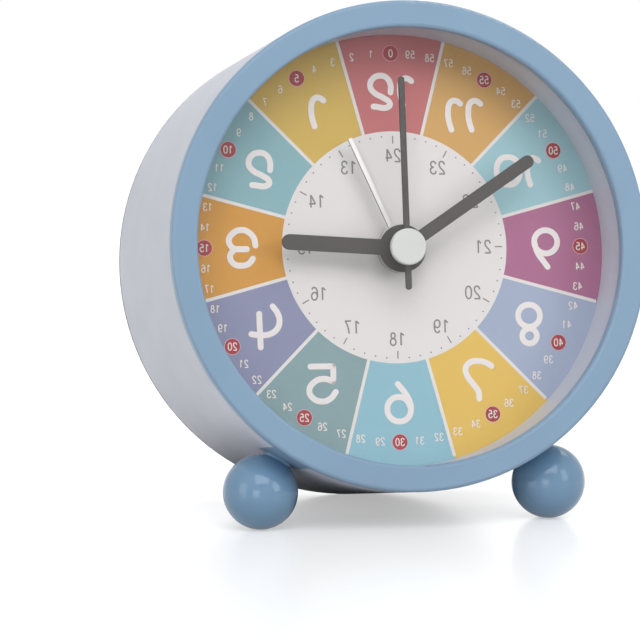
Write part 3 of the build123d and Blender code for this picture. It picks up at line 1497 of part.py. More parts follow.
# Second wheel: its long arbor runs through all the tubes to the second hand.
with BuildPart() as second_wheel:
    with BuildSketch(clock.offset(layer(7))):
        gear_face(second_wheel_teeth, module_train, second_phase)
    extrude(amount=wheel_thickness)
    with BuildSketch(clock.offset(layer(6) - layer_gap)):
        gear_face(second_pinion_teeth, module_train, second_phase)
    extrude(amount=wheel_thickness + layer_gap)
    with BuildSketch(clock.offset(arbor_back_z)):
        Circle(second_arbor_radius)
    extrude(amount=second_hand_z + hand_thickness + cap_socket - loose_gap - arbor_back_z)
save(second_wheel, "second_wheel")

# Step wheel between the motor's rotor and the second wheel.
with BuildPart() as step_wheel:
    with BuildSketch(clock.offset(layer(8))):
        with Locations(step_at):
            gear_face(step_wheel_teeth, module_fine, step_wheel_phase)
    extrude(amount=wheel_thickness)
    with BuildSketch(clock.offset(layer(8) + wheel_thickness)):
        with Locations(step_at):
            gear_face(step_pinion_teeth, module_train, step_pinion_phase)
    extrude(amount=layer_gap + wheel_thickness)
    with BuildSketch(clock.offset(arbor_back_z)):
        with Locations(step_at):
            Circle(pivot_radius)
    extrude(amount=plate_front - loose_gap - arbor_back_z)
save(step_wheel, "step_wheel")

# Rotor of the motor: a round magnet with a pinion.
magnet_back_z = stator_z - layer_gap / 2
with BuildPart() as rotor:
    with BuildSketch(clock.offset(layer(8))):
        with Locations(rotor_at):
            gear_face(rotor_teeth, module_fine, rotor_phase)
    extrude(amount=magnet_back_z - layer(8))
    with BuildSketch(clock.offset(magnet_back_z)):
        with Locations(rotor_at):
            Circle(rotor_magnet_radius)
    extrude(amount=stator_z + wheel_thickness + rotor_magnet_rise - magnet_back_z)
    with BuildSketch(clock.offset(arbor_back_z)):
        with Locations(rotor_at):
            Circle(pivot_radius)
    extrude(amount=plate_front - loose_gap - arbor_back_z)
save(rotor, "rotor")

# ---------------------------------------------------------------- setting shafts and knobs

knob_back_z = recess_floor_z + knob_sink
knob_front_z = knob_back_z + knob_length
shaft_back_z = knob_front_z - knob_grip


def set_shaft(at, layer_number, teeth, module, phase):
    """Shaft from a pinion in the movement back to a knob, with a pivot at its front end."""
    with BuildPart() as shaft:
        with BuildSketch(clock.offset(shaft_back_z)):
            with Locations(at):
                Circle(pinion_shaft_radius)
        extrude(amount=layer(layer_number) - shaft_back_z)
        with BuildSketch(clock.offset(layer(layer_number))):
            with Locations(at):
                gear_face(teeth, module, phase)
        extrude(amount=wheel_thickness)
        with BuildSketch(clock.offset(layer(layer_number))):
            with Locations(at):
                Circle(pivot_radius)
        extrude(amount=arbor_front_z - layer(layer_number))
    return shaft


def toothed_knob(at):
    """A coarse-toothed knob with a dimple in its end and a blind hole for the shaft."""
    with BuildPart() as knob:
        with BuildSketch(clock.offset(knob_back_z)):
            with Locations(at):
                Circle(knob_radius)
                with PolarLocations(knob_radius, knob_teeth):
                    Circle(knob_tooth_depth, mode=Mode.SUBTRACT)
        extrude(amount=knob_length)
        with BuildSketch(clock.offset(knob_back_z)):
            with Locations(at):
                Circle(knob_hollow_radius)
        extrude(amount=knob_hollow_depth, mode=Mode.SUBTRACT)
        with BuildSketch(clock.offset(shaft_back_z)):
            with Locations(at):
                Circle(pinion_shaft_radius)
        extrude(amount=knob_grip, mode=Mode.SUBTRACT)
    return knob


save(
    set_shaft(time_knob_at, 3, set_pinion_teeth, module_motion, set_pinion_phase),
    "time_set_shaft",
)
save(
    set_shaft(alarm_knob_at, 1, alarm_pinion_teeth, module_alarm, alarm_pinion_phase),
    "alarm_set_shaft",
)
save(toothed_knob(time_knob_at), "time_knob")
save(toothed_knob(alarm_knob_at), "alarm_knob")

# ---------------------------------------------------------------- hands


def hand_blade(tip, width, angle, round_end):
    """A straight bar from the centre towards an angle from straight up, in the open sketch."""
    end = width / 2 if round_end else 0
    Rectangle(width, tip - end, rotation=angle, align=(Align.CENTER, Align.MIN))
    if round_end:
        with Locations(polar(tip - end, 90 + angle)):
            Circle(end)


def hand(z, tip, width, hub, bore, angle, tail=0, round_end=True):
    """A flat hand with a round hub, pressed on its tube."""
    with BuildPart() as blade:
        with BuildSketch(clock.offset(z)):
            hand_blade(tip, width, angle, round_end)
            if tail:
                hand_blade(tail, width, angle + 180, round_end)
            Circle(hub)
            Circle(bore, mode=Mode.SUBTRACT)
        extrude(amount=hand_thickness)
    return blade


save(
    hand(
        alarm_hand_z, alarm_hand_tip, alarm_hand_width, alarm_hub_radius,
        alarm_tube_radius, alarm_hand_angle, round_end=False,
    ),
    "alarm_hand",
)
save(
    hand(
        hour_hand_z, hour_hand_tip, hour_hand_width, hour_hub_radius,
        hour_tube_radius, hour_hand_angle,
    ),
    "hour_hand",
)
save(
    hand(
        minute_hand_z, minute_hand_tip, minute_hand_width, minute_hub_radius,
        minute_tube_radius, minute_hand_angle,
    ),
    "minute_hand",
)
save(
    hand(
        second_hand_z, second_hand_tip, second_hand_width, second_hub_radius,
        second_arbor_radius, second_hand_angle, tail=second_hand_tail,
    ),
    "second_hand",
)

# White cap over the middle of the hands, pressed on the tip of the second arbor.
with BuildPart() as hub_cap:
    with BuildSketch(clock.offset(second_hand_z + hand_thickness)):
        Circle(cap_radius)
    extrude(amount=cap_height)
    fillet(hub_cap.edges().group_by(hand_axis)[-1], radius=cap_round)
    with BuildSketch(clock.offset(second_hand_z + hand_thickness)):
        Circle(second_arbor_radius)
    extrude(amount=cap_socket, mode=Mode.SUBTRACT)
save(hub_cap, "hub_cap")
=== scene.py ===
import json
from math import cos, radians, sin, tau

import bpy
from mathutils import Matrix, Vector


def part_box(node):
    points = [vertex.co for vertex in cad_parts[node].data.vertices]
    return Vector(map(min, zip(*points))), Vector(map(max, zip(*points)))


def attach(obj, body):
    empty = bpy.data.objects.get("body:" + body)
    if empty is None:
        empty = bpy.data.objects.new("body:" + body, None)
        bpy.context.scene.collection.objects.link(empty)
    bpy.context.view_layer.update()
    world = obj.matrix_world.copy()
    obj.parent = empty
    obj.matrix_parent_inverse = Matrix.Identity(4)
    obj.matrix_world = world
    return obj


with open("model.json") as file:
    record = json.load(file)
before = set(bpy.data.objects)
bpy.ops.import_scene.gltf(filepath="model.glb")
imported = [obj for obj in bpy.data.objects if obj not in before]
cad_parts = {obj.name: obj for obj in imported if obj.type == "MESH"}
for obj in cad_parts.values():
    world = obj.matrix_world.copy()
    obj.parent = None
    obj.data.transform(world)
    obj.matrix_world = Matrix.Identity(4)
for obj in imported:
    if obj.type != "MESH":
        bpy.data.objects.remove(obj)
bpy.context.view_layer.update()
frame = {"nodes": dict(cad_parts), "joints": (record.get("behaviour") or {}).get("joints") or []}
nodes = frame["nodes"]

# Where the clock stands. The hands' arbors give the dial's own frame: x across the dial, y up
# it and z out through the lens. Everything on the dial is made flat in millimetres first and
# then stood up on that frame, which leans back with the case.
millimetre = 0.001
arbor = next(joint for joint in frame["joints"] if joint["name"] == "minute_hand_turn")
dial_centre = Vector(arbor["pos_m"])
dial_out = Vector(arbor["axis"]).normalized()
dial_right = Vector((1.0, 0.0, 0.0))
dial_up = dial_out.cross(dial_right)


def frame_at(place, right, up, out):
    """The frame that stands at a place, with its axes along three directions."""
    return Matrix.Translation(place) @ Matrix((right, up, out)).transposed().to_4x4()


dial_frame = frame_at(dial_centre, dial_right, dial_up, dial_out) @ Matrix.Scale(millimetre, 4)


# Camera. A long lens from a little left of the dial and a little above it, so that the white
# side of the case shows beside the ring.
towards_camera = Vector((-0.166587, -0.598260, 0.040704))
pan = radians(-1.45)
tilt = radians(-1.33)
film_width = 36.0
focal_length = 169.08
ahead = -towards_camera.normalized()
camera_right = ahead.cross(Vector((0.0, 0.0, 1.0))).normalized()
camera_up = camera_right.cross(ahead)
ahead = ahead * cos(pan) + camera_right * sin(pan)
camera_right = ahead.cross(camera_up)
looking = ahead * cos(tilt) + camera_up * sin(tilt)
camera_up = camera_up * cos(tilt) - ahead * sin(tilt)
bpy.ops.object.camera_add()
camera = bpy.context.object
camera.name = "camera"
camera.matrix_world = frame_at(dial_centre + towards_camera, camera_right, camera_up, -looking)
camera.data.sensor_width = film_width
camera.data.lens = focal_length
camera.data.clip_start = 0.01
bpy.context.scene.camera = camera
bpy.context.scene.view_settings.view_transform = "Standard"


# Table and light. A smooth white sheet under the clock and five soft lamps: the strongest high
# in front, one at each side, a low one in front and one high behind. The sheet and the
# surroundings read as plain white, and the sheet keeps the clock's shadow and its reflection.
def let_go():
    """Leaves nothing selected, so that the next operator acts on its own piece alone."""
    bpy.ops.object.select_all(action="DESELECT")


def wire(node, inputs):
    """Fills the named inputs of a node: an output is linked to it, a plain value is written."""
    for name, value in inputs.items():
        if isinstance(value, bpy.types.NodeSocket):
            node.id_data.links.new(value, node.inputs[name])
        else:
            node.inputs[name].default_value = value


def add(tree, kind, inputs, **settings):
    """Adds a shader node, makes its settings and fills its inputs."""
    node = tree.nodes.new("ShaderNode" + kind)
    for name, value in settings.items():
        setattr(node, name, value)
    wire(node, inputs)
    return node


def mix(tree, factor, first, second):
    """A colour between two others."""
    inputs = {"Factor": factor, "A": first, "B": second}
    return add(tree, "Mix", inputs, data_type="RGBA").outputs["Result"]


def worked_out(tree, operation, first, second):
    """The result of one sum on two values."""
    return add(tree, "Math", {0: first, 1: second}, operation=operation).outputs[0]


def new_material(name):
    """A material, its node tree, its main shader, and the place of each point on the piece."""
    material = bpy.data.materials.new(name)
    material.use_nodes = True
    tree = material.node_tree
    where = add(tree, "TexCoord", {}).outputs["Object"]
    return material, tree, tree.nodes["Principled BSDF"], where


def seen_directly(tree, mirrored=1.0):
    """1 for what the eye, glass or a gloss shows, and 0 for scattered light. A second factor
    takes the gloss away again where it is 0."""
    path = add(tree, "LightPath", {}).outputs
    in_gloss = worked_out(tree, "MULTIPLY", path["Is Glossy Ray"], mirrored)
    shown = worked_out(tree, "MAXIMUM", path["Is Camera Ray"], in_gloss)
    shown = worked_out(tree, "MAXIMUM", shown, path["Is Transmission Ray"])
    unscattered = worked_out(tree, "LESS_THAN", path["Diffuse Depth"], 0.5)
    return worked_out(tree, "MULTIPLY", shown, unscattered)


def soft_lamp(name, place, size, watts):
    """A rectangular lamp with a cloth before it, aimed at the middle of the clock."""
    clock_middle = Vector((0.0, 0.0, 0.05))
    bpy.ops.object.light_add(type="AREA", location=place)
    lamp = bpy.context.object
    lamp.name = name
    lamp.data.shape = "RECTANGLE"
    lamp.data.size, lamp.data.size_y = size
    lamp.data.energy = watts
    aim = clock_middle - Vector(place)
    lamp.rotation_euler = aim.to_track_quat("-Z", "Y").to_euler()


let_go()
bpy.ops.mesh.primitive_plane_add(size=6.0, location=(0.0, 0.0, 0.0))
table = bpy.context.object
table.name = "table"
sheet, tree, shader, where = new_material("white_sheet")
# Close under the case the sheet's colour for scattered light is painted nearly black and its gloss is
# taken away there: a painted shade and a painted dull reflection where the clock's shade falls.
shade_middle = (0.0, 0.017, 0.0)
shade_core = 0.03
shade_edge = 0.057
painted_shade = (0.02, 0.02, 0.023, 1.0)
in_light = (0.68, 0.68, 0.685, 1.0)
as_seen = (0.86, 0.86, 0.865, 1.0)
sheet_lift = 0.42
from_under = add(tree, "VectorMath", {0: where, 1: shade_middle}, operation="DISTANCE")
out_of_shade = add(
    tree,
    "MapRange",
    {"Value": from_under.outputs["Value"], "From Min": shade_core, "From Max": shade_edge},
    interpolation_type="SMOOTHSTEP",
).outputs["Result"]
sheet_seen = seen_directly(tree, out_of_shade)
sheet_colour = mix(tree, sheet_seen, mix(tree, out_of_shade, painted_shade, in_light), as_seen)
wire(shader, {"Base Color": sheet_colour, "Roughness": 0.22, "Specular IOR Level": 0.35})
lift = worked_out(tree, "MULTIPLY", sheet_seen, sheet_lift)
glow = add(tree, "Emission", {"Strength": lift})
total = add(tree, "AddShader", {0: shader.outputs[0], 1: glow.outputs[0]})
wire(tree.nodes["Material Output"], {"Surface": total.outputs[0]})
table.data.materials.append(sheet)

world = bpy.data.worlds.new("studio")
bpy.context.scene.world = world
world.use_nodes = True
tree = world.node_tree
plain_white = (1.0, 1.0, 1.0, 1.0)
around = tree.nodes["Background"]
wire(around, {"Color": plain_white, "Strength": 0.34})
backdrop = add(tree, "Background", {"Color": plain_white, "Strength": 1.0})
choose = {0: seen_directly(tree), 1: around.outputs[0], 2: backdrop.outputs[0]}
surroundings = add(tree, "MixShader", choose).outputs[0]
wire(tree.nodes["World Output"], {"Surface": surroundings})

soft_lamp("lamp_over", place=(-0.1, -0.76, 0.84), size=(0.8, 0.6), watts=4.2)
soft_lamp("lamp_right", place=(0.62, -0.79, 0.40), size=(0.38, 0.55), watts=1.6)
soft_lamp("lamp_left", place=(-0.93, -0.36, 0.22), size=(0.45, 0.6), watts=1.55)
soft_lamp("lamp_front", place=(-0.48, -1.0, 0.10), size=(0.4, 0.3), watts=1.1)
soft_lamp("lamp_back", place=(0.5, 0.5, 1.0), size=(0.7, 0.7), watts=2.6)


# Case shell. A drum of white plastic with a fine matt grain, open at both ends. Moulded in one
# piece with it are the ledge that carries the dial, the four ribs that centre it and the three
# bosses for the screws of the rear cover.
def swatch(red, green, blue):
    """A colour, given by how it looks on a screen, from 0 to 255."""

    def one(part):
        part /= 255.0
        return part / 12.92 if part <= 0.04045 else ((part + 0.055) / 1.055) ** 2.4

    return (one(red), one(green), one(blue), 1.0)


def noise(tree, where, size, detail=2.0, contrast=0.5):
    """Soft irregular patches of about one size, in metres, as a value from 0 to 1."""
    inputs = {"Vector": where, "Scale": 1.0 / size, "Detail": detail, "Roughness": contrast}
    return add(tree, "TexNoise", inputs).outputs["Fac"]


def spread(tree, source, given, wanted):
    """Stretches a value from the given range to the wanted one and stops at its ends."""
    ends = {"From Min": given[0], "From Max": given[1], "To Min": wanted[0], "To Max": wanted[1]}
    return add(tree, "MapRange", {"Value": source} | ends).outputs["Result"]


def moulded_plastic(
    name,
    colour,
    rough,
    grain,
    relief,
    mottle=0.05,
    edge_wear_and_shade=0.25,
    edge=(0.75, 0.76, 0.77, 1.0),
    shine=0.5,
):
    """Pigmented plastic: cloudy pigment, a fine moulded grain, and edges given another colour: a pale
    one where they are rubbed, a dark one where it is a painted shade along the edges.
    """
    material, tree, shader, where = new_material(name)

    def shade(share):
        return tuple(min(1.0, part * share) for part in colour[:3]) + (1.0,)

    clouds = spread(tree, noise(tree, where, size=0.018, detail=3.0), (0.3, 0.7), (0.0, 1.0))
    pigment = mix(tree, clouds, shade(1 - mottle), shade(1 + mottle))
    specks = spread(tree, noise(tree, where, size=0.0006), (0.62, 0.8), (0.0, 0.25))
    pigment = mix(tree, specks, pigment, shade(1 - 3 * mottle))
    edge_round = 0.00025
    rounded = add(tree, "Bevel", {"Radius": edge_round}, samples=4).outputs["Normal"]
    flat = add(tree, "NewGeometry", {}).outputs["Normal"]
    agreement = add(tree, "VectorMath", {0: rounded, 1: flat}, operation="DOT_PRODUCT")
    worn_and_shaded_edges = spread(tree, agreement.outputs["Value"], (0.99, 0.86), (0.0, edge_wear_and_shade))
    rubbed_and_shaded_colour = tuple(0.4 * part + 0.6 * pale for part, pale in zip(colour, edge))
    pigment = mix(tree, worn_and_shaded_edges, pigment, rubbed_and_shaded_colour)
    handled = noise(tree, where, size=0.007, detail=4.0, contrast=0.6)
    smear = spread(tree, handled, (0.3, 0.7), (rough - 0.05, rough + 0.07))
    height = noise(tree, where, size=grain)
    skin = {"Strength": 0.6, "Distance": relief, "Height": height, "Normal": rounded}
    finish = {"Base Color": pigment, "Roughness": smear, "IOR": 1.49, "Specular IOR Level": shine}
    wire(shader, finish | {"Normal": add(tree, "Bump", skin).outputs["Normal"]})
    return material


def dress(material, *names):
    """Gives the named solids a finish."""
    for name in names:
        for place in nodes[name].material_slots:
            place.material = material


white_plastic = moulded_plastic(
    "white_plastic", swatch(223, 226, 238), rough=0.42, grain=0.0005, relief=2.2e-5, mottle=0.02
)
dress(white_plastic, "case_shell")


# Ring and its feet. The ring round the lens and the two balls are sky-blue plastic: the ring
# has a fine satin grain and the balls are polished. The ring plugs into the case, and a screw
# from inside holds each ball to a tongue of the ring.
blue_plastic = moulded_plastic(
    "blue_plastic",
    swatch(142, 172, 199),
    rough=0.34,
    grain=0.0004,
    relief=1.2e-5,
    mottle=0.03,
    shine=0.42,
)
dress(blue_plastic, "bezel_ring")
blue_gloss = moulded_plastic(
    "blue_gloss",
    swatch(121, 158, 190),
    rough=0.05,
    grain=0.0009,
    relief=1.5e-6,
    mottle=0.03,
    edge_wear_and_shade=0.0,
    shine=0.42,
)
dress(blue_gloss, "ball_foot_left", "ball_foot_right")


# Light ring and lens. The frosted wall round the dial spreads the glow of the night light. The
# lens is a clear pressed disc, caught between that wall and the lip of the blue ring.
def clear_plastic(name, colour, rough, clear, shine, shadow_light):
    """Plastic that light goes through, with a faint wave in its skin. The shadow that it casts
    keeps a share of the light."""
    material, tree, shader, where = new_material(name)
    waves_per_metre = 90.0
    wave = noise(tree, where, size=1.0 / waves_per_metre)
    skin = add(tree, "Bump", {"Strength": 0.15, "Distance": 2e-5, "Height": wave})
    body = {"Base Color": colour, "Roughness": rough, "IOR": 1.3, "Specular IOR Level": shine}
    wire(shader, body | {"Transmission Weight": clear, "Normal": skin.outputs["Normal"]})
    in_shadow = add(tree, "LightPath", {}).outputs["Is Shadow Ray"]
    let_by = worked_out(tree, "MULTIPLY", in_shadow, shadow_light)
    open_air = add(tree, "BsdfTransparent", {}).outputs[0]
    whole = add(tree, "MixShader", {0: let_by, 1: shader.outputs[0], 2: open_air})
    wire(tree.nodes["Material Output"], {"Surface": whole.outputs[0]})
    return material


frosted = clear_plastic(
    "frosted_plastic", swatch(215, 219, 231), rough=0.4, clear=0.3, shine=0.5, shadow_light=0.5
)
dress(frosted, "light_ring")
clear_lens = clear_plastic(
    "clear_lens", swatch(255, 255, 255), rough=0.0, clear=1.0, shine=0.15, shadow_light=0.95
)
dress(clear_lens, "lens")


# Dial. A pressed plastic disc with a satin white face, printed in twelve coloured fields round
# a white centre. The printing is a set of thin layers of ink, each a hair above the one below.
# It is a mirror image, as a print_side of -1 says, and stands a little off centre.
print_side = -1.0
print_turn = radians(-0.72)
print_shift = (-0.27, 0.62, 0.0)
ink_film = 0.03
dial_plastic = moulded_plastic(
    "dial_plastic",
    swatch(212, 208, 207),
    rough=0.45,
    grain=0.0003,
    relief=4e-6,
    mottle=0.01,
    edge_wear_and_shade=0.0,
)
dress(dial_plastic, "dial_plate")


# Coloured fields. One flat ring of ink, cut into twelve fields of thirty degrees, each its own
# colour. It is printed first and runs out to the frosted wall.
def printed_ink(name, colour, rough=0.5, fade=0.06):
    """A flat printing ink: slightly uneven coverage with a fine dot grain and a satin skin."""
    material, tree, shader, where = new_material(name)
    shades = []
    for size, detail, amount in ((0.011, 3.0, fade), (0.00025, 1.0, fade * 0.8)):
        full = tuple(part * (1.0 - amount * 0.6) for part in colour[:3]) + (1.0,)
        thin = tuple(part + (0.8 - part) * amount for part in colour[:3]) + (1.0,)
        shades.append(mix(tree, noise(tree, where, size, detail), full, thin))
    tooth = noise(tree, where, size=0.00025)
    skin = add(tree, "Bump", {"Strength": 0.3, "Distance": 4e-6, "Height": tooth})
    coat = {"Base Color": mix(tree, 0.5, *shades), "Roughness": rough}
    wire(shader, coat | {"Normal": skin.outputs["Normal"]})
    return material


def stand_on_dial(piece, layer):
    """Moves a piece that was made flat in millimetres onto the leaning dial, as many films of
    ink above its face as the layer says."""
    let_go()
    piece.select_set(True)
    bpy.context.view_layer.objects.active = piece
    turned = Matrix.Rotation(print_turn, 4, "Z") @ Matrix.Scale(print_side, 4, (1, 0, 0))
    as_printed = Matrix.Translation(print_shift) @ turned
    raised = dial_frame @ Matrix.Translation((0.0, 0.0, layer * ink_film))
    piece.matrix_world = raised @ as_printed @ piece.matrix_world
    bpy.ops.object.transform_apply(location=True, rotation=True, scale=True)
    if print_side < 0:
        bpy.ops.object.mode_set(mode="EDIT")
        bpy.ops.mesh.select_all(action="SELECT")
        bpy.ops.mesh.flip_normals()
        bpy.ops.object.mode_set(mode="OBJECT")


field_radius = 44.83
centre_radius = 24.06
middle_radius = (centre_radius + field_radius) / 2.0
field_colours = {
    12: (181, 91, 93),
    1: (196, 162, 60),
    2: (120, 165, 173),
    3: (198, 136, 8),
    4: (123, 127, 159),
    5: (118, 148, 151),
    6: (128, 176, 191),
    7: (214, 175, 66),
    8: (148, 161, 186),
    9: (156, 83, 124),
    10: (143, 185, 194),
    11: (197, 149, 70),
}
let_go()
bpy.ops.mesh.primitive_circle_add(vertices=240, radius=field_radius)
fields = bpy.context.object
fields.name = fields.data.name = "dial_fields"
bpy.ops.object.mode_set(mode="EDIT")
bpy.ops.mesh.select_all(action="SELECT")
bpy.ops.mesh.extrude_edges_move()
bpy.ops.transform.resize(value=(centre_radius / field_radius,) * 2 + (1.0,))
bpy.ops.mesh.select_all(action="SELECT")
bpy.ops.mesh.normals_make_consistent(inside=False)
bpy.ops.object.mode_set(mode="OBJECT")
for hour in range(1, 13):
    colour = swatch(*field_colours[hour])
    fields.data.materials.append(printed_ink("field_%02d" % hour, colour))
for face in fields.data.polygons:
    turn = Vector((0.0, 1.0)).angle_signed(face.center.xy)
    hour = round(turn / tau * 12.0) % 12
    face.material_index = (hour or 12) - 1
    face.use_smooth = False
if fields.data.polygons[0].normal.z < 0:
    fields.data.flip_normals()
stand_on_dial(fields, layer=1.0)
# The colours run out to the frosted wall on every side, wherever the print was centred.
on_dial = dial_frame.inverted()
for point in fields.data.vertices:
    place = on_dial @ point.co
    if place.xy.length > middle_radius:
        place.xy *= field_radius / place.xy.length
        point.co = dial_frame @ place
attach(fields, "case")


# White centre and rules. A disc of white ink covers the inner ends of the fields, and twelve
# off-white rules cover the joints between them. Both are printed over the colours.
def place_of(hour, radius):
    """Where an hour stands on a circle round the arbors."""
    turn = tau * hour / 12.0
    return (radius * sin(turn), radius * cos(turn), 0.0)


def joined(pieces, name):
    """Makes one piece of several."""
    let_go()
    for piece in pieces:
        piece.select_set(True)
    bpy.context.view_layer.objects.active = pieces[0]
    bpy.ops.object.join()
    whole = bpy.context.object
    whole.name = whole.data.name = name
    return whole


paper_white = printed_ink("paper_white", swatch(216, 212, 211), rough=0.55, fade=0.02)
let_go()
bpy.ops.mesh.primitive_circle_add(vertices=144, radius=centre_radius, fill_type="TRIFAN")
centre = bpy.context.object
centre.name = centre.data.name = "dial_centre"
centre.data.materials.append(paper_white)
stand_on_dial(centre, layer=2.0)
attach(centre, "case")

rule_width = 0.68
rule_overlap = 0.3
rule_length = field_radius - centre_radius + rule_overlap
rule_white = printed_ink("rule_white", swatch(216, 212, 209), fade=0.02)
rules = []
for hour in range(12):
    let_go()
    between = place_of(hour + 0.5, middle_radius)
    turn = -tau * (hour + 0.5) / 12.0
    bpy.ops.mesh.primitive_plane_add(size=1.0, location=between, rotation=(0, 0, turn))
    bpy.context.object.scale = (rule_width, rule_length, 1.0)
    rules.append(bpy.context.object)
rules = joined(rules, "dial_rules")
rules.data.materials.append(rule_white)
stand_on_dial(rules, layer=2.0)
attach(rules, "case")


# Hour numerals. Round-ended strokes of one width, drawn as soft hand-written figures and
# printed in white over the fields.
stroke_width = 1.24
figure_breadth = 1.037
figure_radius = 32.4
# A stroke: the height of its figure, its points as shares of that, and whether it is closed.
figure_strokes = {
    "0": ((6.3, [(0.42, 0.0), (0.72, 0.12), (0.84, 0.5), (0.72, 0.88), (0.42, 1.0),
                 (0.12, 0.88), (0.0, 0.5), (0.12, 0.12)], True),),
    "1": ((6.2, [(0.0, 0.88), (0.12, 0.965), (0.26, 0.97), (0.37, 0.86), (0.42, 0.6),
                 (0.40, 0.3), (0.32, 0.0)], False),),
    "2": ((7.0, [(0.0, 0.464), (-0.01, 0.68), (0.10, 0.92), (0.337, 1.0), (0.575, 0.88),
                 (0.647, 0.643), (0.516, 0.444), (0.238, 0.286), (0.03, 0.107),
                 (0.06, 0.01), (0.556, 0.0)], False),),
    "3": (
        (7.7, [(0.0, 0.563), (0.043, 0.778), (0.204, 0.95), (0.366, 1.0), (0.6, 0.92),
               (0.731, 0.717), (0.67, 0.54), (0.563, 0.462)], False),
        (7.7, [(0.563, 0.462), (0.24, 0.462)], False),
        (7.7, [(0.563, 0.462), (0.67, 0.366), (0.706, 0.222), (0.6, 0.05), (0.42, 0.0),
               (0.204, 0.05), (0.079, 0.194)], False),
    ),
    "4": (
        (8.6, [(0.158, 1.0), (0.045, 0.833), (0.0, 0.636), (0.067, 0.439), (0.248, 0.318),
               (0.476, 0.294), (0.688, 0.324)], False),
        (8.6, [(0.49, 0.818), (0.47, 0.0)], False),
    ),
    "5": (
        (7.5, [(0.70, 1.0), (0.056, 1.0)], False),
        (7.5, [(0.056, 1.0), (0.063, 0.563)], False),
        (7.5, [(0.063, 0.563), (0.315, 0.644), (0.593, 0.563), (0.748, 0.322),
               (0.667, 0.119), (0.407, 0.0), (0.148, 0.081), (0.0, 0.267)], False),
    ),
    "6": ((8.0, [(0.338, 1.0), (0.148, 0.759), (0.034, 0.534), (0.0, 0.328), (0.079, 0.103),
                 (0.31, 0.0), (0.545, 0.103), (0.631, 0.328), (0.545, 0.562),
                 (0.321, 0.655), (0.114, 0.569), (0.02, 0.397)], False),),
    "7": ((8.4, [(0.0, 0.861), (0.149, 0.954), (0.364, 1.0), (0.579, 0.96), (0.695, 0.80),
                 (0.646, 0.596), (0.48, 0.364), (0.364, 0.182), (0.348, 0.0)], False),),
    "8": (
        (8.3, [(0.568, 0.709), (0.284, 0.993), (0.0, 0.709), (0.284, 0.425)], True),
        (8.3, [(0.474, 0.19), (0.284, 0.38), (0.094, 0.19), (0.284, 0.0)], True),
    ),
    "9": (
        (7.7, [(0.632, 0.682), (0.314, 1.0), (-0.004, 0.682), (0.314, 0.364)], True),
        (7.7, [(0.628, 0.682), (0.55, 0.394), (0.404, 0.177), (0.278, 0.0)], False),
    ),
}
pair_pitch = {10: 5.9, 11: 4.4, 12: 5.9}
# Each figure is placed one by one: how far it stands aside of its hour, how far above, and its size.
figure_fit = {
    1: (-0.3, 0.0, 0.98),
    2: (0.35, 0.0, 0.95),
    3: (0.0, 0.0, 0.95),
    4: (-0.15, 0.0, 0.97),
    5: (0.0, 0.0, 0.96),
    6: (0.0, 0.2, 0.965),
    7: (-1.1, 0.35, 0.93),
    8: (-0.55, 0.0, 0.985),
    9: (-0.3, -0.45, 1.0),
    10: (0.45, -0.35, 0.92),
    11: (0.54, -0.5, 1.0),
    12: (-0.38, 0.0, 0.92),
}


def drawn_stroke(points, closed, width=stroke_width, fine=True):
    """One stroke of a figure: a round bar along a smooth line, with round ends. A fine stroke
    bends through its points; a plain one of two points is straight."""
    let_go()
    bpy.ops.curve.primitive_bezier_curve_add()
    line = bpy.context.object
    line.data.dimensions = "3D"
    spline = line.data.splines[0]
    spline.bezier_points.add(len(points) - len(spline.bezier_points))
    for knot, (x, y) in zip(spline.bezier_points, points):
        knot.co = (x, y, 0.0)
        knot.handle_left_type = knot.handle_right_type = "AUTO" if len(points) > 2 else "VECTOR"
    spline.use_cyclic_u = closed
    spline.resolution_u = (6 if fine else 3) if len(points) > 2 else 1
    line.data.bevel_depth = width / 2.0
    line.data.bevel_resolution = 2 if fine else 0
    line.data.use_fill_caps = not fine
    bpy.ops.object.convert(target="MESH")
    made = [bpy.context.object]
    if fine and not closed:
        for x, y in (points[0], points[-1]):
            let_go()
            bpy.ops.mesh.primitive_uv_sphere_add(
                segments=14, ring_count=8, radius=width / 2.0, location=(x, y, 0.0)
            )
            made.append(bpy.context.object)
    return made


def pressed_flat(strokes, name, material, layer):
    """Joins a set of strokes, presses them down to a film of ink and stands it on the dial."""
    share_left = 0.03
    flat = joined(strokes, name)
    flat.scale = (1.0, 1.0, share_left)
    bpy.ops.object.transform_apply(location=True, rotation=True, scale=True)
    bpy.ops.object.mode_set(mode="EDIT")
    bpy.ops.mesh.select_all(action="SELECT")
    bpy.ops.mesh.normals_make_consistent(inside=False)
    bpy.ops.object.mode_set(mode="OBJECT")
    bpy.ops.object.shade_flat()
    flat.data.materials.clear()
    flat.data.materials.append(material)
    stand_on_dial(flat, layer)
    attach(flat, "case")


numerals = []
for hour, (aside, above, size) in figure_fit.items():
    x0, y0, _ = place_of(hour, figure_radius)
    x0 += aside
    y0 += above
    for n, digit in enumerate(str(hour)):
        strokes = figure_strokes[digit]
        across = [x * figure_breadth * tall for tall, points, _ in strokes for x, _ in points]
        middle = (min(across) + max(across)) / 2.0
        if hour > 9:
            middle -= (n - 0.5) * pair_pitch[hour]
        for tall, points, closed in strokes:
            placed = []
            for x, y in points:
                right = x0 + (x * figure_breadth * tall - middle) * size
                placed.append((right, y0 + (y - 0.5) * tall * size))
            numerals += drawn_stroke(placed, closed)
numeral_white = printed_ink("numeral_white", swatch(222, 216, 214), rough=0.45, fade=0.02)
pressed_flat(numerals, "hour_numerals", numeral_white, layer=2.2)


# Minute and day figures. Small numbers in a thin plain type: the minutes in white round the rim
# of the fields, and the second half of the day in grey on the white centre.
plain_pitch = 0.72
plain_middle = 0.27
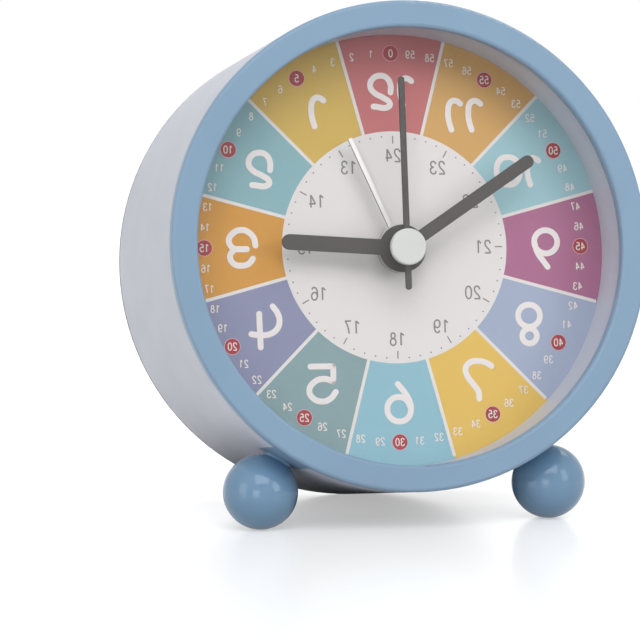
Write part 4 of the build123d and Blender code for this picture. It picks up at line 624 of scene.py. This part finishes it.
# A stroke: its points as shares of the figure's height, and whether it is closed.
plain_strokes = {
    "0": (([(0.27, 1.0), (0.48, 0.78), (0.5, 0.5), (0.48, 0.22), (0.27, 0.0), (0.06, 0.22),
            (0.04, 0.5), (0.06, 0.78)], True),),
    "1": (([(0.1, 0.78), (0.34, 1.0)], False), ([(0.34, 1.0), (0.34, 0.0)], False)),
    "2": (([(0.05, 0.74), (0.13, 0.93), (0.28, 1.0), (0.44, 0.93), (0.49, 0.73),
            (0.38, 0.48), (0.17, 0.26), (0.04, 0.0)], False),
          ([(0.04, 0.0), (0.51, 0.0)], False)),
    "3": (([(0.05, 0.78), (0.13, 0.94), (0.27, 1.0), (0.42, 0.92), (0.46, 0.75),
            (0.38, 0.59), (0.22, 0.54)], False),
          ([(0.22, 0.54), (0.42, 0.47), (0.5, 0.28), (0.42, 0.08), (0.26, 0.0),
            (0.1, 0.07), (0.03, 0.24)], False)),
    "4": (([(0.39, 0.0), (0.39, 1.0)], False), ([(0.39, 1.0), (0.02, 0.3)], False),
          ([(0.02, 0.3), (0.53, 0.3)], False)),
    "5": (([(0.47, 1.0), (0.12, 1.0)], False), ([(0.12, 1.0), (0.07, 0.5)], False),
          ([(0.07, 0.5), (0.26, 0.61), (0.44, 0.53), (0.5, 0.31), (0.42, 0.08),
            (0.24, 0.0), (0.09, 0.06), (0.02, 0.2)], False)),
    "6": (([(0.47, 0.82), (0.39, 0.96), (0.26, 1.0), (0.1, 0.86), (0.04, 0.5),
            (0.07, 0.17), (0.27, 0.0), (0.45, 0.1), (0.5, 0.31), (0.43, 0.52),
            (0.27, 0.6), (0.11, 0.52), (0.05, 0.36)], False),),
    "7": (([(0.03, 1.0), (0.5, 1.0)], False),
          ([(0.5, 1.0), (0.31, 0.6), (0.2, 0.0)], False)),
    "8": (([(0.27, 1.0), (0.44, 0.78), (0.27, 0.55), (0.1, 0.78)], True),
          ([(0.27, 0.55), (0.5, 0.28), (0.27, 0.0), (0.04, 0.28)], True)),
    "9": (([(0.07, 0.18), (0.15, 0.04), (0.28, 0.0), (0.44, 0.14), (0.5, 0.5),
            (0.47, 0.83), (0.27, 1.0), (0.09, 0.9), (0.04, 0.69), (0.11, 0.48),
            (0.27, 0.4), (0.43, 0.48), (0.49, 0.64)], False),),
}


def plain_figures(words, centre, tall, width):
    """A small number in a thin plain type, centred on a point."""
    made = []
    for n, digit in enumerate(words):
        left = centre[0] + ((n - (len(words) - 1) / 2.0) * plain_pitch - plain_middle) * tall
        for points, closed in plain_strokes[digit]:
            placed = [(left + x * tall, centre[1] + (y - 0.5) * tall) for x, y in points]
            made += drawn_stroke(placed, closed, width, fine=False)
    return made


minute_radius = 40.3
minute_white = printed_ink("minute_white", swatch(222, 216, 208), fade=0.03)
minute_strokes = []
for minute in range(60):
    middle = place_of(minute / 5.0, minute_radius)
    minute_strokes += plain_figures(str(minute), middle, tall=1.5, width=0.22)
pressed_flat(minute_strokes, "minute_figures", minute_white, layer=4.2)

day_radius = 19.05
print_grey = printed_ink("print_grey", swatch(118, 115, 114), fade=0.05)
day_strokes = []
for hour in range(1, 13):
    middle = place_of(hour, day_radius)
    day_strokes += plain_figures(str(12 + hour), middle, tall=2.6, width=0.34)
pressed_flat(day_strokes, "day_figures", print_grey, layer=2.6)


# Minute spots. Every fifth minute stands on a round spot of red ink, printed before the figure
# over a slightly larger spot of pink that shows as its rim.
rim_pink = printed_ink("rim_pink", swatch(226, 178, 180), fade=0.03)
spot_red = printed_ink("spot_red", swatch(152, 14, 34), rough=0.45, fade=0.02)
for name, radius, layer, material in (
    ("minute_rims", 1.7, 2.0, rim_pink),
    ("minute_spots", 1.6, 3.0, spot_red),
):
    spots = []
    for hour in range(12):
        let_go()
        bpy.ops.mesh.primitive_circle_add(
            vertices=32, radius=radius, fill_type="TRIFAN", location=place_of(hour, minute_radius)
        )
        spots.append(bpy.context.object)
    spots = joined(spots, name)
    spots.data.materials.append(material)
    stand_on_dial(spots, layer)
    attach(spots, "case")


# Hour ticks and minute dots. Grey marks printed on the rim of the white centre: a short tick at
# each hour and a small round dot at every minute between.
tick_radius = 22.3
tick_size = (0.26, 1.6, 1.0)
dot_ring_radius = 23.0
dot_radius = 0.17
marks = []
for minute in range(60):
    let_go()
    if minute % 5 == 0:
        middle = place_of(minute / 5.0, tick_radius)
        turn = -tau * minute / 60.0
        bpy.ops.mesh.primitive_plane_add(size=1.0, location=middle, rotation=(0, 0, turn))
        bpy.context.object.scale = tick_size
    else:
        middle = place_of(minute / 5.0, dot_ring_radius)
        bpy.ops.mesh.primitive_circle_add(
            vertices=12, radius=dot_radius, fill_type="NGON", location=middle
        )
    marks.append(bpy.context.object)
marks = joined(marks, "dial_marks")
marks.data.materials.append(print_grey)
stand_on_dial(marks, layer=3.0)
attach(marks, "case")


# Hands and cap. Blades pressed from thin metal, each pushed onto its own tube or arbor: the
# hour, minute and second hands are lacquered a warm dark grey, the alarm hand is plain silver.
# The cap over them is white plastic and presses onto the end of the second arbor.
def dark_sides(material, colour):
    """Paints shade on the cut sides of a flat piece on the dial: they get a darker colour than its
    face, a painted shade.
    """
    tree = material.node_tree
    shader = tree.nodes["Principled BSDF"]
    flat = add(tree, "NewGeometry", {}).outputs["Normal"]
    face_on = add(tree, "VectorMath", {0: flat, 1: dial_out}, operation="DOT_PRODUCT")
    share = spread(tree, face_on.outputs["Value"], (0.55, 0.85), (0.0, 1.0))
    face_colour = shader.inputs["Base Color"].links[0].from_socket
    wire(shader, {"Base Color": mix(tree, share, colour, face_colour)})


# The hands' edges are painted near black: a painted shade along the edges of the blades.
hand_grey = moulded_plastic(
    "hand_grey",
    swatch(71, 67, 66),
    rough=0.5,
    grain=0.0003,
    relief=4e-6,
    edge_wear_and_shade=0.7,
    edge=swatch(20, 18, 18),
    shine=0.3,
)
# The sides of the grey hands get a painted shade.
dark_sides(hand_grey, swatch(30, 28, 28))
dress(hand_grey, "hour_hand", "minute_hand", "second_hand")
hand_silver = moulded_plastic(
    "hand_silver", swatch(208, 206, 205), rough=0.45, grain=0.0003, relief=4e-6, mottle=0.02, edge_wear_and_shade=0.0
)
wire(hand_silver.node_tree.nodes["Principled BSDF"], {"Metallic": 0.7})
# The sides of the silver hand get a painted shade.
dark_sides(hand_silver, swatch(70, 68, 68))
dress(hand_silver, "alarm_hand")
cap_white = moulded_plastic(
    "cap_white", swatch(200, 203, 200), rough=0.34, grain=0.0005, relief=4e-6, mottle=0.02
)
dress(cap_white, "hub_cap")


# Boards. Glass-fibre sheets with a solder mask over copper tracks. A white ring-shaped one lies
# on the ledge of the case behind the dial, and two green ones stand on posts, one in the
# movement and one behind the controls.
def masked_board(name, mask, track):
    """A solder mask with raised copper tracks on an irregular grid and a fine glass weave."""
    material, tree, shader, where = new_material(name)
    cells_per_metre = 420.0
    cells = add(
        tree,
        "TexVoronoi",
        {"Vector": where, "Scale": cells_per_metre},
        distance="CHEBYCHEV",
        feature="DISTANCE_TO_EDGE",
    ).outputs["Distance"]
    covered = spread(tree, cells, (0.07, 0.1), (0.0, 1.0))
    weave = noise(tree, where, size=0.0004)
    dulled = spread(tree, weave, (0.0, 1.0), (0.22, 0.4))
    skin = add(tree, "Bump", {"Strength": 0.6, "Distance": 2e-5, "Height": covered}, invert=True)
    coat = {"Base Color": mix(tree, covered, track, mask), "Roughness": dulled}
    wire(shader, coat | {"Normal": skin.outputs["Normal"]})
    return material


white_board = masked_board("white_board", mask=swatch(226, 226, 222), track=swatch(214, 214, 208))
dress(white_board, "led_board")
green_board = masked_board("green_board", mask=swatch(38, 92, 60), track=swatch(66, 128, 84))
dress(green_board, "control_board", "quartz_board")


# Night light. Eight small blocks of pale yellow resin, soldered to the ring-shaped board. They
# stand in notches of the dial and shine forward into the frosted wall.
led_yellow = moulded_plastic(
    "led_yellow",
    swatch(240, 226, 150),
    rough=0.22,
    grain=0.0002,
    relief=3e-6,
    mottle=0.04,
    edge_wear_and_shade=0.1,
)
dress(led_yellow, "night_light_leds")


# Movement housing. Two halves and a middle plate of grey engineering plastic carry all the
# pivots, and the bobbin of the motor's coil is moulded in the same grade.
housing = moulded_plastic(
    "housing", swatch(188, 190, 184), rough=0.4, grain=0.0005, relief=1e-5, mottle=0.03
)
dress(housing, "movement_front", "movement_plate", "movement_back", "coil_bobbin")


# Wheels and arbors. Small gears and the two setting shafts, moulded in a slippery ivory plastic
# in one piece with their pinions. They turn on the hands' axis, on studs of the housing or in
# holes of its plates.
wheel_plastic = moulded_plastic(
    "wheel_plastic", swatch(226, 220, 200), rough=0.32, grain=0.0005, relief=6e-6, mottle=0.02
)
dress(
    wheel_plastic,
    "alarm_wheel",
    "alarm_idler",
    "hour_wheel",
    "motion_wheel",
    "minute_arbor",
    "centre_wheel",
    "third_wheel",
    "second_wheel",
    "step_wheel",
    "time_set_shaft",
    "alarm_set_shaft",
)


# Stepping motor. A stamped plate of soft iron, bored round the rotor, with a core bar lapped
# under its two legs. The coil on the core is enamelled copper wire, and the rotor is a small
# round magnet with a pinion.
def drawn_metal(name, colour, rough, lines, along=(1.0, 1.0, 0.06), depth=6e-6):
    """Turned or rolled metal: fine lines that run one way, and a faint uneven stain."""
    material, tree, shader, where = new_material(name)
    pulled = add(tree, "Mapping", {"Vector": where, "Scale": along}).outputs["Vector"]
    streaks = noise(tree, pulled, size=lines, detail=3.0)
    stained = tuple(part * 0.72 for part in colour[:3]) + (1.0,)
    tint = mix(tree, noise(tree, where, size=0.002), stained, colour)
    dulled = spread(tree, streaks, (0.0, 1.0), (rough - 0.1, rough + 0.12))
    skin = add(tree, "Bump", {"Strength": 0.5, "Distance": depth, "Height": streaks})
    face = {"Base Color": tint, "Metallic": 1.0, "Roughness": dulled}
    wire(shader, face | {"Normal": skin.outputs["Normal"]})
    return material


iron = drawn_metal("iron", swatch(138, 136, 134), rough=0.42, lines=0.00025, along=(0.06, 1.0, 1.0))
dress(iron, "stator", "coil_core")
copper = drawn_metal(
    "copper",
    swatch(186, 104, 62),
    rough=0.32,
    lines=0.00012,
    along=(1.0, 0.05, 0.05),
    depth=2e-5,
)
dress(copper, "coil_winding")
magnet = moulded_plastic(
    "magnet", swatch(52, 50, 52), rough=0.5, grain=0.0003, relief=1.2e-5, mottle=0.08, edge_wear_and_shade=0.1
)
dress(magnet, "rotor")


# Clutch washer. A dished spring washer of brass that presses the centre wheel against the foot
# of the minute arbor, so that the hands slip when they are set.
brass = drawn_metal("brass", swatch(206, 170, 96), rough=0.3, lines=0.0002)
dress(brass, "clutch_washer")


# Screws. Turned steel with fine lathe lines. Bright ones hold the feet and the movement, and
# three blackened ones with crossed slots hold the rear cover to the bosses of the case.
screw_steel = drawn_metal("screw_steel", swatch(176, 176, 178), rough=0.34, lines=0.0003)
dress(screw_steel, "foot_screws", "movement_screws")
screw_black = drawn_metal("screw_black", swatch(44, 43, 44), rough=0.36, lines=0.0003)
dress(screw_black, "case_screws")


# Rear cover. A black moulding with a coarse spark-eroded grain that closes the case and holds
# the battery, the knobs and the switches. Three screws hold it.
black_plastic = moulded_plastic(
    "black_plastic",
    swatch(20, 20, 21),
    rough=0.5,
    grain=0.0005,
    relief=4e-5,
    mottle=0.08,
    edge_wear_and_shade=0.2,
    shine=0.28,
)
dress(black_plastic, "rear_cover")


# Battery door. A bulged black lid, smoother than the cover. It turns on two hooks along its top
# edge, and a folded latch at the bottom holds it shut.
black_satin = moulded_plastic(
    "black_satin",
    swatch(24, 24, 25),
    rough=0.3,
    grain=0.0005,
    relief=2e-5,
    mottle=0.08,
    edge_wear_and_shade=0.2,
    shine=0.4,
)
dress(black_satin, "battery_door")


# Knobs, slider and button. The two toothed setting knobs and the alarm slider are satin black,
# rubbed bright on their edges, and the light button is white and springs back.
black_knob = moulded_plastic(
    "black_knob", swatch(24, 24, 25), rough=0.24, grain=0.0006, relief=1.5e-5, mottle=0.08, edge_wear_and_shade=0.3
)
dress(black_knob, "time_knob", "alarm_knob", "alarm_slider")
button_white = moulded_plastic(
    "button_white", swatch(242, 242, 239), rough=0.35, grain=0.0006, relief=1e-5, mottle=0.02
)
dress(button_white, "light_button")


# Buzzer and switches. Bought-in pieces in plain black plastic: the buzzer sits in a collar of
# the rear cover, and both switches are soldered to the control board.
buzzer_black = moulded_plastic(
    "buzzer_black", swatch(26, 26, 27), rough=0.45, grain=0.0005, relief=1e-5, mottle=0.06
)
dress(buzzer_black, "buzzer", "light_switch", "slide_switch")


# Battery contacts and crystal. A flat contact and a coil spring of plated steel stand at the
# two ends of the battery bay, and the can of the crystal is the same bright steel.
spring_steel = drawn_metal("spring_steel", swatch(206, 204, 198), rough=0.26, lines=0.0002)
dress(spring_steel, "plate_contact", "spring_contact", "crystal")


# Battery. An AA cell in a plain printed jacket: a dark body with a copper-coloured band at the
# positive end, and bare steel at both ends. It lies loose, with its nub at the flat contact.
def cell_jacket():
    """The jacket's plastic with bands of colour along the cell, from its flat end."""
    material = moulded_plastic(
        "cell_jacket", swatch(44, 46, 52), rough=0.28, grain=0.0004, relief=4e-6, edge_wear_and_shade=0.0
    )
    tree = material.node_tree
    low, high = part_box("battery_cell")
    where = add(tree, "TexCoord", {}).outputs["Object"]
    along = add(tree, "SeparateXYZ", {0: where}).outputs["X"]
    share = spread(tree, along, (low[0], high[0]), (0.0, 1.0))
    bands = add(tree, "ValToRGB", {"Fac": share})
    ramp = bands.color_ramp
    ramp.interpolation = "CONSTANT"
    steel, dark, warm = swatch(196, 196, 194), swatch(40, 42, 48), swatch(190, 128, 78)
    ramp.elements[0].color = steel
    ramp.elements[1].position = 0.02
    ramp.elements[1].color = dark
    for place, colour in ((0.74, warm), (0.955, steel)):
        ramp.elements.new(place).color = colour
    jacket = {"Base Color": bands.outputs["Color"], "Metallic": 0.6}
    wire(tree.nodes["Principled BSDF"], jacket)
    return material


dress(cell_jacket(), "battery_cell")


bpy.context.view_layer.update()
